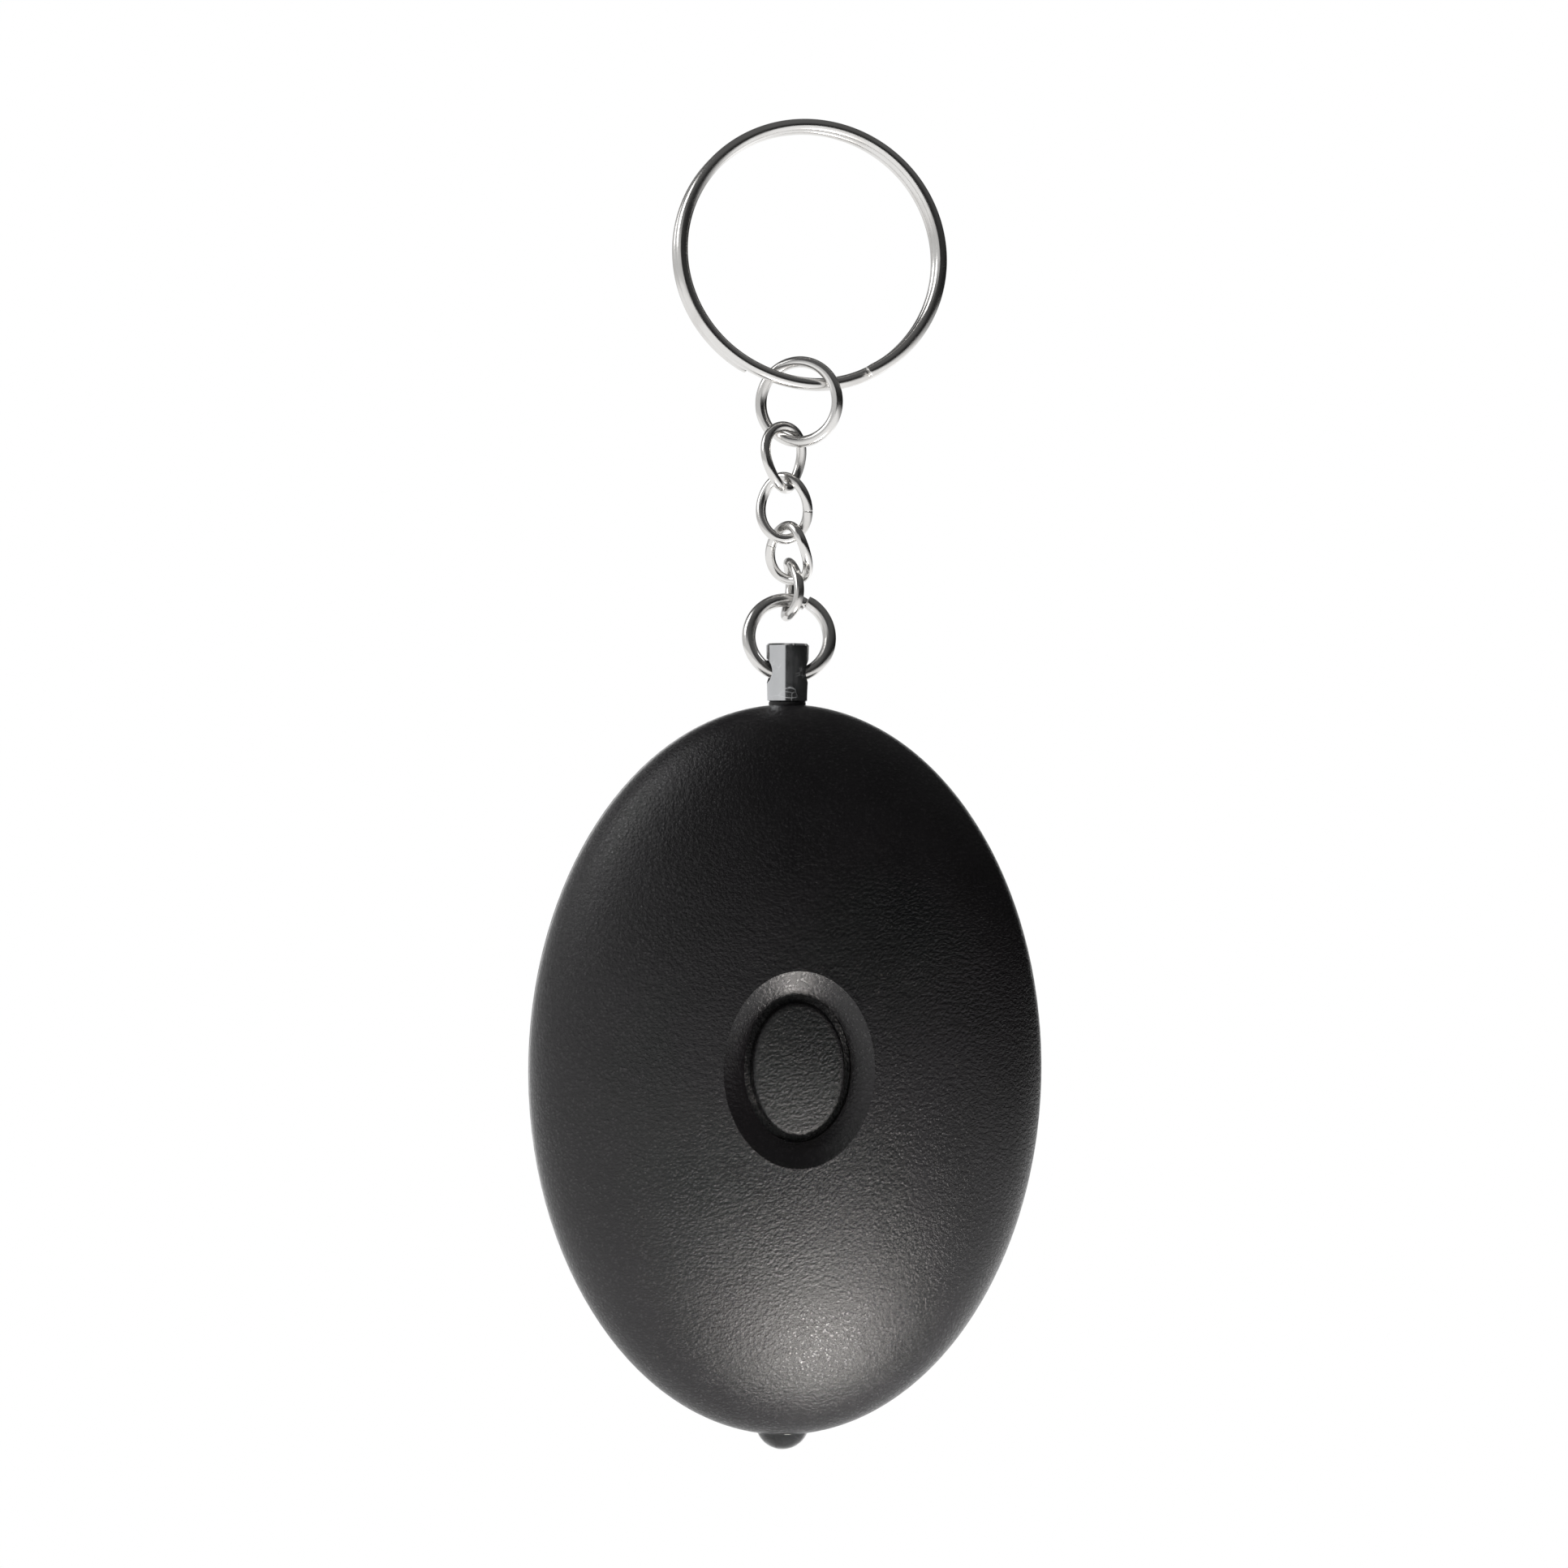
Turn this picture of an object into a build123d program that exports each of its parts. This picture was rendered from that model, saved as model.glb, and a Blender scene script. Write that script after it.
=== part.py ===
"""Personal safety alarm: an egg-shaped siren that hangs from a keyring by a chain and a pull pin.

Millimetres. The keyring's centre is the origin, the alarm hangs below it along -Z and faces -Y.
"""
from build123d import *
from math import cos, pi, radians, sin, sqrt
import os

os.makedirs("parts", exist_ok=True)

# Keyring: round wire wound twice, the two layers side by side along Y
keyring_half_width = 12.25
keyring_half_height = 12.0
keyring_wire = 1.2
keyring_layer_gap = 0.03
keyring_yaw = 6.5
keyring_tilt = -5.0
keyring_front_end = 25.0
keyring_rear_end = -28.7

# Jump rings, one at each end of the chain
upper_ring_radius = 3.7
upper_ring_wire = 1.05
upper_ring_split = -134.0
pin_ring_radius = 3.72
pin_ring_wire = 1.24
pin_ring_split = 62.0
ring_end_offset = 0.22

# Curb links: an oval of round wire, twisted about its length
link_half_width = 2.24
link_half_height = 2.87
link_wire = 0.92
link_twist_per_mm = -6.0
wire_split = 0.14

# Place of each ring and link: x, y and z, then yaw, tilt and roll in degrees
upper_ring_place = (-0.94, -0.35, -13.59, -26.7, 0.8, 0.0)
link_places = (
    (-2.30, 0.05, -18.64, 38.0, -0.7, -3.9),
    (-2.24, 0.25, -23.27, -23.2, 0.0, -4.4),
    (-1.58, 0.83, -27.48, -52.7, 22.6, 34.3),
    (-1.40, 1.32, -30.73, -87.3, -4.1, -46.8),
)
link_splits = (33.0, -9.0, 186.0, 20.0)
pin_ring_x = -1.68
pin_ring_tilt = -15.0
pin_ring_low_z = -38.72

# Pull pin: a chromed head with a cross hole, on a black plastic shaft
pin_x = -1.85
head_top_z = -35.75
head_height = 5.4
head_top_radius = 2.0
head_bottom_radius = 1.84
head_top_chamfer = 0.18
head_bottom_chamfer = 0.15
cross_hole_radius = 1.15
cross_hole_z = -38.26
spigot_radius = 1.2
spigot_height = 0.8
neck_radius = 1.7
neck_low_z = 20.5
tip_radius = 1.2
tip_low_z = 14.0
neck_chamfer = 0.3
tip_edge = 0.5
running_gap = 0.05

# Casing: two half ellipsoids that meet on the XZ plane, the front one behind a straight band
casing_z = -74.8
half_width = 23.6
half_height = 33.45
front_depth = 11.5
rear_depth = 10.5
wall = 1.7
front_band = 1.5
seam_groove_depth = 0.3
seam_groove_width = 0.12
lip_outer = 0.95
lip_height = 1.0
lip_gap = 0.05
lip_clearance = 0.4

# Collars where the pin and the lamp pass through the seam
pin_collar_radius = 3.0
pin_collar_low_z = 28.9
lamp_collar_radius = 3.6
lamp_collar_high_z = -27.45

# Light button in a dished oval recess, a little above the middle of the front
recess_z = 0.58
dish_floor_half_width = 4.7
dish_floor_half_height = 6.5
dish_floor_y = -9.75
dish_rim_half_width = 6.88
dish_rim_half_height = 8.8
dish_rim_y = -11.1
button_half_width = 4.2
button_half_height = 6.0
button_gap = 0.66
button_top_y = -11.15
button_crown = 34.0
button_edge = 0.5
flange_margin = 1.35
flange_front_y = -8.5
flange_thickness = 0.8
well_margin = 2.1
well_rear_y = -8.6
button_post_radius = 2.0
button_post_rear_y = -6.75

# Circuit board, and the switch under the button
board_front_y = -3.6
board_thickness = 1.0
board_half_width = 14.5
board_low_z = -7.2
board_high_z = 16.5
board_corner = 3.0
switch_size = 6.0
switch_height = 2.5
switch_corner = 0.4
switch_leg = 0.7
switch_leg_reach = 1.1
switch_leg_pitch = 4.0
stem_radius = 1.7
stem_front_y = -6.7
stem_rear_y = -5.6
stem_bore_y = -5.2
stem_chamfer = 0.2

# Parts on the back of the board: place, then size
inductor_spot = (-8.0, 3.0)
inductor_radius = 4.0
inductor_waist = 3.4
inductor_height = 4.5
inductor_flange = 0.9
transistor_spot = (-8.0, 12.0)
transistor_radius = 2.3
transistor_flat = 1.3
transistor_height = 4.2
transistor_leg = 0.5
transistor_leg_pitch = 1.27
transistor_stand = 1.2
chip_spot = (3.0, 4.5)
chip_width, chip_height, chip_depth = 5.0, 3.9, 1.4
chip_leg_width, chip_leg_reach, chip_leg_pitch = 0.4, 1.0, 1.27
chip_leg_count = 4
resistor_spots = ((6.5, 9.0), (6.5, 11.0), (-1.5, -3.5), (3.5, -3.5))
resistor_width, resistor_height, resistor_depth = 2.0, 1.25, 0.6

# Screws
post_radius = 2.2
screw_gap = 0.05
case_screw_spots = ((-14.0, 20.0), (14.0, 20.0), (-15.0, -17.5), (15.0, -17.5))
case_screw_radius = 0.95
case_head_radius = 1.7
case_head_height = 1.3
case_seat_y = 3.6
case_screw_length = 7.5
board_post_radius = 1.9
board_screw_spots = ((-11.5, 10.0), (11.5, 10.0))
board_screw_radius = 0.8
board_head_radius = 1.5
board_head_height = 1.0
board_screw_length = 3.2
driver_slot_width = 0.5
driver_slot_depth = 0.6
driver_slot_reach = 1.3
pilot_spare = 0.3
cover_pilot_spare = 0.1

# Lamp: a clear 5 mm lens over two leads
lamp_radius = 2.5
lamp_tip_z = -35.0
lamp_base_z = -26.4
lamp_flange_radius = 2.9
lamp_flange_height = 1.0
lamp_gap = 0.1
lead_x = 1.27
lead_width = 0.5
lead_bend = 1.0
lamp_tip_flat = 0.02
lamp_frame = (
    ((-1.52, -0.25, -29.2), (-1.02, 0.25, -26.4)),
    ((-1.52, -0.25, -31.0), (0.3, 0.25, -29.2)),
    ((1.02, -0.25, -29.6), (1.52, 0.25, -26.4)),
    ((0.7, -0.25, -30.8), (1.52, 0.25, -29.6)),
)
lead_route = ((0.0, -26.4), (0.0, -24.6), (-5.4, -22.4), (-5.4, -5.6), (-3.6, -5.6))

# Batteries: three button cells in a row along X, in a bay open to the rear
cell_count = 3
cell_radius = 5.8
cell_height = 5.4
cell_cap_radius = 4.8
cell_cap_height = 0.3
cell_edge = 0.3
cell_row_x = -7.4
cell_y = 1.4
cell_z = -14.3
bay_low = (-9.9, -4.5, -20.4)
bay_high = (9.1, 10.5, -8.2)
bay_wall = 0.7
bay_floor = 0.5
contact_thickness = 0.3
contact_low_y, contact_high_y = -3.0, 5.8
contact_low_z, contact_high_z = -19.0, -9.6
tab_front_y, tab_rear_y, tab_high_z = -2.6, -0.4, -6.0
finger_width = 4.0
finger_spread = 3.1
finger_fold = 0.39

# Battery cover on the rear
cover_x, cover_z = -0.4, -16.8
cover_width, cover_height = 24.0, 20.4
cover_corner = 4.0
cover_thickness = 1.15
cover_seat = 1.2
cover_gap = 0.15
hook_xs = (-6.4, 5.6)
hook_width = 3.0
hook_leg_y, hook_leg_low_z, hook_leg_high_z = 7.2, -9.2, -8.35
hook_foot_y, hook_foot_high_z = 7.9, -6.4
slot_gap = 0.1
cover_screw_z = -24.0
cover_pad_radius = 2.6
cover_pad_y = 5.6
cover_boss_radius = 2.9
cover_boss_y = 3.05
cover_screw_radius = 0.85
cover_head_radius = 1.6
cover_head_height = 0.9
cover_head_y = 6.3
cover_screw_length = 2.9

# Sounder: a piezo disc in a ring, held against the rear shell
sounder_z = 9.5
plate_radius = 13.5
plate_front_y = 4.6
plate_thickness = 0.3
ceramic_radius = 10.0
ceramic_thickness = 0.25
sounder_ring_radius = 14.3
sounder_ring_front_y = 3.4
sounder_ring_rear_y = 5.2
plate_gap = 0.1
ledge_radius = 12.4
chamber_radius = 12.9
slot_width = 1.1
slot_pitch = 2.3
slot_lengths = (7.0, 10.6, 12.0, 10.6, 7.0)
piezo_wire = 0.9
piezo_wire_bend = 1.0
ceramic_wire_route = ((5.0, 4.35, 6.0), (5.0, 1.0, 6.0), (9.0, 1.0, 1.0), (9.0, -2.6, 1.0))
plate_wire_route = ((11.3, 4.6, 5.0), (11.3, 0.6, 5.0), (12.5, 0.6, 1.0), (12.5, -2.6, 1.0))

# Socket that takes the pin's shaft, and the two contact leaves that the shaft keeps apart
socket_size = 6.4
socket_edge = 0.8
socket_low_z, socket_high_z = 17.5, 28.6
socket_step_z = 20.1
tip_gap = 0.1
socket_rib_width = 2.0
front_rib_low_z, front_rib_high_z = 19.5, 27.5
rear_rib_low_z, rear_rib_high_z = 24.3, 27.5
leaf_width = 2.2
leaf_offset = 1.25
front_leaf_low_z = 12.3
rear_leaf_low_z = 11.3

board_rear_y = board_front_y + board_thickness


# Places: every point of the alarm is given from the middle of its casing

def at(x, y, z):
    """A point given from the middle of the casing."""
    return (pin_x + x, y, casing_z + z)


def upright(y, x=0.0, z=0.0):
    """The plane at depth y that faces the front, its origin at x and z."""
    return Plane(origin=at(x, y, z), x_dir=(1, 0, 0), z_dir=(0, -1, 0))


def level(z, x=0.0, y=0.0):
    """The horizontal plane at height z, facing up."""
    return Plane(origin=at(x, y, z), x_dir=(1, 0, 0), z_dir=(0, 0, 1))


def sideways(x, y=0.0, z=0.0):
    """The plane at x that faces right, its own axes along Y and Z."""
    return Plane(origin=at(x, y, z), x_dir=(0, 1, 0), z_dir=(1, 0, 0))


def pose(x, y, z, yaw=0.0, tilt=0.0, roll=0.0):
    """The frame of a ring or link: rolled about its Y, tilted about X, turned about Z."""
    return Plane(Pos(x, y, z) * Rot(0, 0, yaw) * Rot(tilt, 0, 0) * Rot(0, roll, 0))


# Shapes that many pieces share

def block(low, high, mode=Mode.ADD):
    """A box between two corners."""
    middle = [(a + b) / 2 for a, b in zip(low, high)]
    with Locations(at(*middle)):
        Box(*[b - a for a, b in zip(low, high)], mode=mode)


def bars(plane, radius, length, spots=((0.0, 0.0),), mode=Mode.ADD):
    """Round bars, or holes, that rise from a plane."""
    with BuildSketch(plane) as section:
        with Locations(*spots):
            Circle(radius)
    extrude(section.sketch, amount=length, mode=mode)


def oval_ring(plane, outer_inset, inner_inset, length, mode=Mode.ADD):
    """A ring that follows the casing's outline, between two insets from it."""
    with BuildSketch(plane) as section:
        Ellipse(half_width - outer_inset, half_height - outer_inset)
        Ellipse(half_width - inner_inset, half_height - inner_inset, mode=Mode.SUBTRACT)
    extrude(section.sketch, amount=length, mode=mode)


def front_dome(inset):
    """The front shell's outline, made smaller by an inset: a straight band, then half an ellipsoid."""
    with BuildPart() as half:
        Sphere(1, rotation=(0, 0, 180), arc_size3=180, align=None)
        scale(by=(half_width - inset, front_depth - front_band - inset, half_height - inset))
        seam_face = half.faces().sort_by(Axis.Y)[-1]
        extrude(seam_face, amount=front_band, dir=(0, 1, 0))
    return half.part.moved(Location(at(0, -front_band, 0)))


def rear_dome(inset):
    """The rear shell's outline, made smaller by an inset: half an ellipsoid."""
    with BuildPart() as half:
        Sphere(1, arc_size3=180, align=None)
        scale(by=(half_width - inset, rear_depth - inset, half_height - inset))
    return half.part.moved(Location(at(0, 0, 0)))


def cross_recess(plane, head_radius, spots=((0.0, 0.0),)):
    """A cross-shaped driver recess cut into a screw head, down from a plane."""
    with BuildSketch(plane) as section:
        with Locations(*spots):
            Rectangle(driver_slot_reach * head_radius, driver_slot_width)
            Rectangle(driver_slot_width, driver_slot_reach * head_radius)
    extrude(section.sketch, amount=driver_slot_depth, mode=Mode.SUBTRACT)


# Bent wire

def biarc(start, start_way, end, end_way):
    """Two arcs from point to point, tangent to the way at each end and to each other."""
    chord = end - start
    bend = 2 * (1 - start_way.dot(end_way))
    along = chord.dot(start_way + end_way)
    reach = (sqrt(along ** 2 + bend * chord.dot(chord)) - along) / bend
    before = start + start_way * reach
    after = end - end_way * reach
    middle = (before + after) * 0.5
    TangentArc(start, middle, tangent=start_way)
    TangentArc(middle, end, tangent=after - before)


def bent_wire(frame, curve, turns, diameter):
    """Sweep round wire along a curve, which gives a point and a way for each angle in turns."""
    stations = []
    for angle in turns:
        point, way = curve(angle)
        start = frame.from_local_coords(point)
        stations.append((start, (frame.from_local_coords(point + way) - start).normalized()))
    with BuildLine() as path:
        for (start, start_way), (end, end_way) in zip(stations, stations[1:]):
            biarc(start, start_way, end, end_way)
    with BuildSketch(Plane(stations[0][0], z_dir=stations[0][1])) as section:
        Circle(diameter / 2)
    sweep(section.sketch, path=path.line)
    length = sum(edge.length for edge in path.edges())
    print(f"wire {diameter} mm thick and {length:.1f} mm long, {pi * diameter ** 2 / 4 * length:.2f} mm3")


def even_turns(first, last, count):
    """Angles from first to last, in even steps."""
    return [first + (last - first) * k / count for k in range(count + 1)]


def jump_ring(frame, radius, diameter, split):
    """A flat ring of wire whose ends meet, a little offset, at an angle above +X."""
    first = radians(split) + wire_split / radius / 2
    growth = ring_end_offset / (2 * pi)

    def curve(angle):
        reach = radius + growth * (angle - first - pi)
        out = Vector(cos(angle), 0, sin(angle))
        round_way = Vector(-sin(angle), 0, cos(angle))
        return out * reach, out * growth + round_way * reach

    bent_wire(frame, curve, even_turns(first, first + 2 * pi - wire_split / radius, 4), diameter)


def curb_link(frame, split):
    """A twisted oval link of wire, its butt joint at an angle above +X."""
    first = radians(split) + wire_split / link_half_height / 2
    twist = radians(link_twist_per_mm)

    def curve(angle):
        x, z = link_half_width * cos(angle), link_half_height * sin(angle)
        x_rate, z_rate = -link_half_width * sin(angle), link_half_height * cos(angle)
        across = Vector(cos(twist * z), sin(twist * z), 0)
        behind = Vector(-sin(twist * z), cos(twist * z), 0)
        point = across * x + Vector(0, 0, z)
        return point, across * x_rate + behind * (x * twist * z_rate) + Vector(0, 0, z_rate)

    bent_wire(frame, curve, even_turns(first, first + 2 * pi - wire_split / link_half_height, 8), link_wire)


def keyring_curve(angle):
    """The keyring's centreline, its angle counted from straight down towards +X."""
    jog = radians(keyring_front_end - keyring_rear_end)
    share = min(max((angle - radians(360 + keyring_rear_end)) / jog, 0.0), 1.0)
    side = (share - 0.5) * (keyring_wire + keyring_layer_gap)
    point = Vector(keyring_half_width * sin(angle), side, -keyring_half_height * cos(angle))
    return point, Vector(keyring_half_width * cos(angle), 0, keyring_half_height * sin(angle))


pieces = {}

# Keyring, chain and pull pin

with BuildPart() as keyring:
    first_layer = even_turns(radians(keyring_front_end), radians(360 + keyring_rear_end), 3)
    second_layer = [angle + 2 * pi for angle in first_layer]
    keyring_frame = pose(0, 0, 0, keyring_yaw, keyring_tilt)
    bent_wire(keyring_frame, keyring_curve, first_layer + second_layer, keyring_wire)
pieces["keyring"] = keyring

with BuildPart() as upper_ring:
    jump_ring(pose(*upper_ring_place), upper_ring_radius, upper_ring_wire, upper_ring_split)
pieces["upper_ring"] = upper_ring

for number, (place, split) in enumerate(zip(link_places, link_splits), start=1):
    with BuildPart() as chain_link:
        curb_link(pose(*place), split)
    pieces[f"chain_link_{number}"] = chain_link

with BuildPart() as pin_ring:
    drop = radians(pin_ring_tilt)
    pin_ring_frame = pose(
        pin_ring_x, -pin_ring_radius * sin(drop), pin_ring_low_z + pin_ring_radius * cos(drop), tilt=pin_ring_tilt
    )
    jump_ring(pin_ring_frame, pin_ring_radius, pin_ring_wire, pin_ring_split)
pieces["pin_ring"] = pin_ring

head_low_z = head_top_z - head_height
with BuildPart() as pin_head:
    with BuildSketch(Plane((pin_x, 0, head_low_z))):
        Circle(head_bottom_radius)
    with BuildSketch(Plane((pin_x, 0, head_top_z))):
        Circle(head_top_radius)
    loft()
    ends = pin_head.edges().filter_by(GeomType.CIRCLE).sort_by(Axis.Z)
    chamfer(ends[-1], length=head_top_chamfer)
    chamfer(ends[0], length=head_bottom_chamfer)
    with BuildSketch(Plane((pin_x, 0, cross_hole_z), x_dir=(0, 1, 0), z_dir=(1, 0, 0))):
        Circle(cross_hole_radius)
    extrude(amount=2 * head_top_radius, both=True, mode=Mode.SUBTRACT)
    with BuildSketch(Plane((pin_x, 0, head_low_z))):
        Circle(spigot_radius)
    extrude(amount=spigot_height, mode=Mode.SUBTRACT)
pieces["pin_head"] = pin_head

with BuildPart() as pin_shaft:
    bars(level(neck_low_z), neck_radius, head_low_z - casing_z - neck_low_z)
    chamfer(pin_shaft.edges().group_by(Axis.Z)[0], length=neck_chamfer)
    bars(level(tip_low_z), tip_radius, neck_low_z - tip_low_z)
    fillet(pin_shaft.edges().group_by(Axis.Z)[0], radius=tip_edge)
    bars(level(head_low_z - casing_z), spigot_radius, spigot_height)
pieces["pin_shaft"] = pin_shaft

# Casing

front_skin = front_dome(0)
front_space = front_dome(wall)
rear_skin = rear_dome(0)
rear_space = rear_dome(wall)
hole_half_width = button_half_width + button_gap
hole_half_height = button_half_height + button_gap
pin_bore_radius = neck_radius + running_gap
lamp_bore_radius = lamp_radius + lamp_gap

with BuildPart() as front_shell:
    add(front_skin)
    add(front_space, mode=Mode.SUBTRACT)
    bars(upright(-screw_gap), post_radius, front_depth, case_screw_spots)
    bars(upright(board_front_y), board_post_radius, front_depth, board_screw_spots)
    with BuildSketch(upright(well_rear_y, z=recess_z)):
        Ellipse(hole_half_width + well_margin, hole_half_height + well_margin)
    extrude(amount=front_depth)
    block(
        (-socket_rib_width / 2, -front_depth, front_rib_low_z),
        (socket_rib_width / 2, -socket_size / 2, front_rib_high_z),
    )
    bars(level(pin_collar_low_z), pin_collar_radius, half_height - pin_collar_low_z)
    bars(level(-half_height), lamp_collar_radius, half_height + lamp_collar_high_z)
    add(front_skin, mode=Mode.INTERSECT)
    oval_ring(upright(0), lip_outer - lip_gap, wall + lip_clearance, lip_height + lip_gap, mode=Mode.SUBTRACT)
    oval_ring(upright(0), -wall, seam_groove_depth, seam_groove_width, mode=Mode.SUBTRACT)
    bars(upright(0), case_screw_radius + screw_gap, case_screw_length - case_seat_y + pilot_spare, case_screw_spots,
         mode=Mode.SUBTRACT)
    bars(upright(0), board_screw_radius + screw_gap, board_screw_length - board_rear_y + pilot_spare, board_screw_spots,
         mode=Mode.SUBTRACT)
    bars(level(0), pin_bore_radius, 2 * half_height, mode=Mode.SUBTRACT)
    bars(level(-2 * half_height), lamp_bore_radius, 2 * half_height, mode=Mode.SUBTRACT)
    flare = (front_depth + wall + dish_floor_y) / (dish_floor_y - dish_rim_y)
    with BuildSketch(upright(dish_floor_y, z=recess_z)):
        Ellipse(dish_floor_half_width, dish_floor_half_height)
    with BuildSketch(upright(-front_depth - wall, z=recess_z)):
        Ellipse(
            dish_floor_half_width + (dish_rim_half_width - dish_floor_half_width) * flare,
            dish_floor_half_height + (dish_rim_half_height - dish_floor_half_height) * flare,
        )
    loft(mode=Mode.SUBTRACT)
    with BuildSketch(upright(well_rear_y, z=recess_z)):
        Ellipse(hole_half_width, hole_half_height)
    extrude(amount=front_depth, mode=Mode.SUBTRACT)
pieces["front_shell"] = front_shell

with BuildPart() as cover_pocket:
    with BuildSketch(upright(0, cover_x, cover_z)):
        RectangleRounded(cover_width + 2 * cover_gap, cover_height + 2 * cover_gap, cover_corner + cover_gap)
    extrude(amount=-2 * rear_depth)
    add(rear_dome(cover_seat), mode=Mode.SUBTRACT)

bay_outer_low = tuple(low - gap for low, gap in zip(bay_low, (bay_wall, bay_floor, bay_wall)))
bay_outer_x = bay_high[0] + bay_wall
bay_outer_z = bay_high[2] + bay_wall
tab_xs = (bay_low[0], bay_high[0] - contact_thickness)

with BuildPart() as rear_shell:
    add(rear_skin)
    add(rear_space, mode=Mode.SUBTRACT)
    bars(upright(0), post_radius, -rear_depth, case_screw_spots)
    with BuildSketch(upright(sounder_ring_rear_y, z=sounder_z)):
        Circle(sounder_ring_radius)
        Circle(chamber_radius, mode=Mode.SUBTRACT)
    extrude(amount=-rear_depth)
    block(
        (-socket_rib_width / 2, socket_size / 2, rear_rib_low_z),
        (socket_rib_width / 2, rear_depth, rear_rib_high_z),
    )
    block(bay_outer_low, (bay_outer_x, rear_depth, bay_outer_z))
    bars(upright(cover_boss_y, z=cover_screw_z), cover_boss_radius, -rear_depth)
    bars(level(pin_collar_low_z), pin_collar_radius, half_height - pin_collar_low_z)
    bars(level(-half_height), lamp_collar_radius, half_height + lamp_collar_high_z)
    add(rear_skin, mode=Mode.INTERSECT)
    block(bay_outer_low, (bay_outer_x, 0, bay_outer_z))
    oval_ring(upright(0), lip_outer, wall, lip_height)
    oval_ring(upright(0), -wall, seam_groove_depth, -seam_groove_width, mode=Mode.SUBTRACT)
    block(bay_low, bay_high, mode=Mode.SUBTRACT)
    add(cover_pocket.part, mode=Mode.SUBTRACT)
    for hook_x in hook_xs:
        block(
            (hook_x - hook_width / 2 - cover_gap, hook_leg_y - slot_gap, bay_high[2] - slot_gap),
            (hook_x + hook_width / 2 + cover_gap, hook_foot_y + slot_gap, bay_outer_z + slot_gap),
            mode=Mode.SUBTRACT,
        )
    for tab_x in tab_xs:
        block(
            (tab_x - slot_gap, tab_front_y - slot_gap, bay_high[2] - slot_gap),
            (tab_x + contact_thickness + slot_gap, tab_rear_y + slot_gap, bay_outer_z + slot_gap),
            mode=Mode.SUBTRACT,
        )
    bars(upright(cover_pad_y - screw_gap, z=cover_screw_z), cover_pad_radius + cover_gap, -rear_depth,
         mode=Mode.SUBTRACT)
    bars(upright(cover_head_y, z=cover_screw_z), cover_screw_radius + screw_gap, cover_screw_length + cover_pilot_spare,
         mode=Mode.SUBTRACT)
    bars(upright(0), case_screw_radius + cover_gap, -rear_depth, case_screw_spots, mode=Mode.SUBTRACT)
    bars(upright(case_seat_y), case_head_radius + cover_gap, -rear_depth, case_screw_spots, mode=Mode.SUBTRACT)
    bars(level(0), pin_bore_radius, 2 * half_height, mode=Mode.SUBTRACT)
    bars(level(-2 * half_height), lamp_bore_radius, 2 * half_height + lamp_collar_high_z, mode=Mode.SUBTRACT)
    with BuildSketch(upright(sounder_ring_rear_y, z=sounder_z)):
        for number, slot_length in enumerate(slot_lengths):
            with Locations(((number - (len(slot_lengths) - 1) / 2) * slot_pitch, 0)):
                SlotOverall(slot_length, slot_width, rotation=90)
    extrude(amount=-rear_depth, mode=Mode.SUBTRACT)
pieces["rear_shell"] = rear_shell

with BuildPart() as battery_cover:
    with BuildSketch(upright(0, cover_x, cover_z)):
        RectangleRounded(cover_width, cover_height, cover_corner)
    extrude(amount=-2 * rear_depth)
    add(rear_dome(cover_thickness), mode=Mode.SUBTRACT)
    bars(upright(cover_pad_y, z=cover_screw_z), cover_pad_radius, -rear_depth)
    for hook_x in hook_xs:
        block(
            (hook_x - hook_width / 2, hook_leg_y, hook_leg_low_z),
            (hook_x + hook_width / 2, rear_depth, hook_leg_high_z),
        )
        block(
            (hook_x - hook_width / 2, hook_leg_y, hook_leg_high_z),
            (hook_x + hook_width / 2, hook_foot_y, hook_foot_high_z),
        )
    add(rear_skin, mode=Mode.INTERSECT)
    bars(upright(0, z=cover_screw_z), cover_screw_radius + cover_gap, -rear_depth, mode=Mode.SUBTRACT)
    bars(upright(cover_head_y, z=cover_screw_z), cover_head_radius + cover_gap, -rear_depth, mode=Mode.SUBTRACT)
pieces["battery_cover"] = battery_cover

# Button and lamp

with BuildPart() as light_button:
    with BuildSketch(upright(flange_front_y, z=recess_z)):
        Ellipse(button_half_width, button_half_height)
    extrude(amount=front_depth + flange_front_y + wall)
    with Locations(at(0, button_top_y + button_crown, recess_z)):
        Sphere(button_crown, mode=Mode.INTERSECT)
    fillet(light_button.faces().sort_by(Axis.Y)[0].edges(), radius=button_edge)
    with BuildSketch(upright(flange_front_y + flange_thickness, z=recess_z)):
        Ellipse(button_half_width + flange_margin, button_half_height + flange_margin)
    extrude(amount=flange_thickness)
    bars(upright(button_post_rear_y, z=recess_z), button_post_radius, button_post_rear_y - flange_front_y)
pieces["light_button"] = light_button

with BuildPart() as lamp_leads:
    for side in (-1, 1):
        with BuildLine(sideways(side * lead_x)) as route:
            FilletPolyline(*lead_route, radius=lead_bend)
        with BuildSketch(level(lead_route[0][1], side * lead_x)):
            Rectangle(lead_width, lead_width)
        sweep(path=route.line)
    for low, high in lamp_frame:
        block(low, high)
pieces["lamp_leads"] = lamp_leads

with BuildPart() as lamp_lens:
    bars(level(lamp_tip_z), lamp_radius, lamp_base_z - lamp_tip_z)
    fillet(lamp_lens.edges().group_by(Axis.Z)[0], radius=lamp_radius - lamp_tip_flat)
    bars(level(lamp_base_z - lamp_flange_height), lamp_flange_radius, lamp_flange_height)
    for low, high in lamp_frame:
        block(low, high, mode=Mode.SUBTRACT)
pieces["lamp_lens"] = lamp_lens

# Circuit board with its switch and parts

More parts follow.
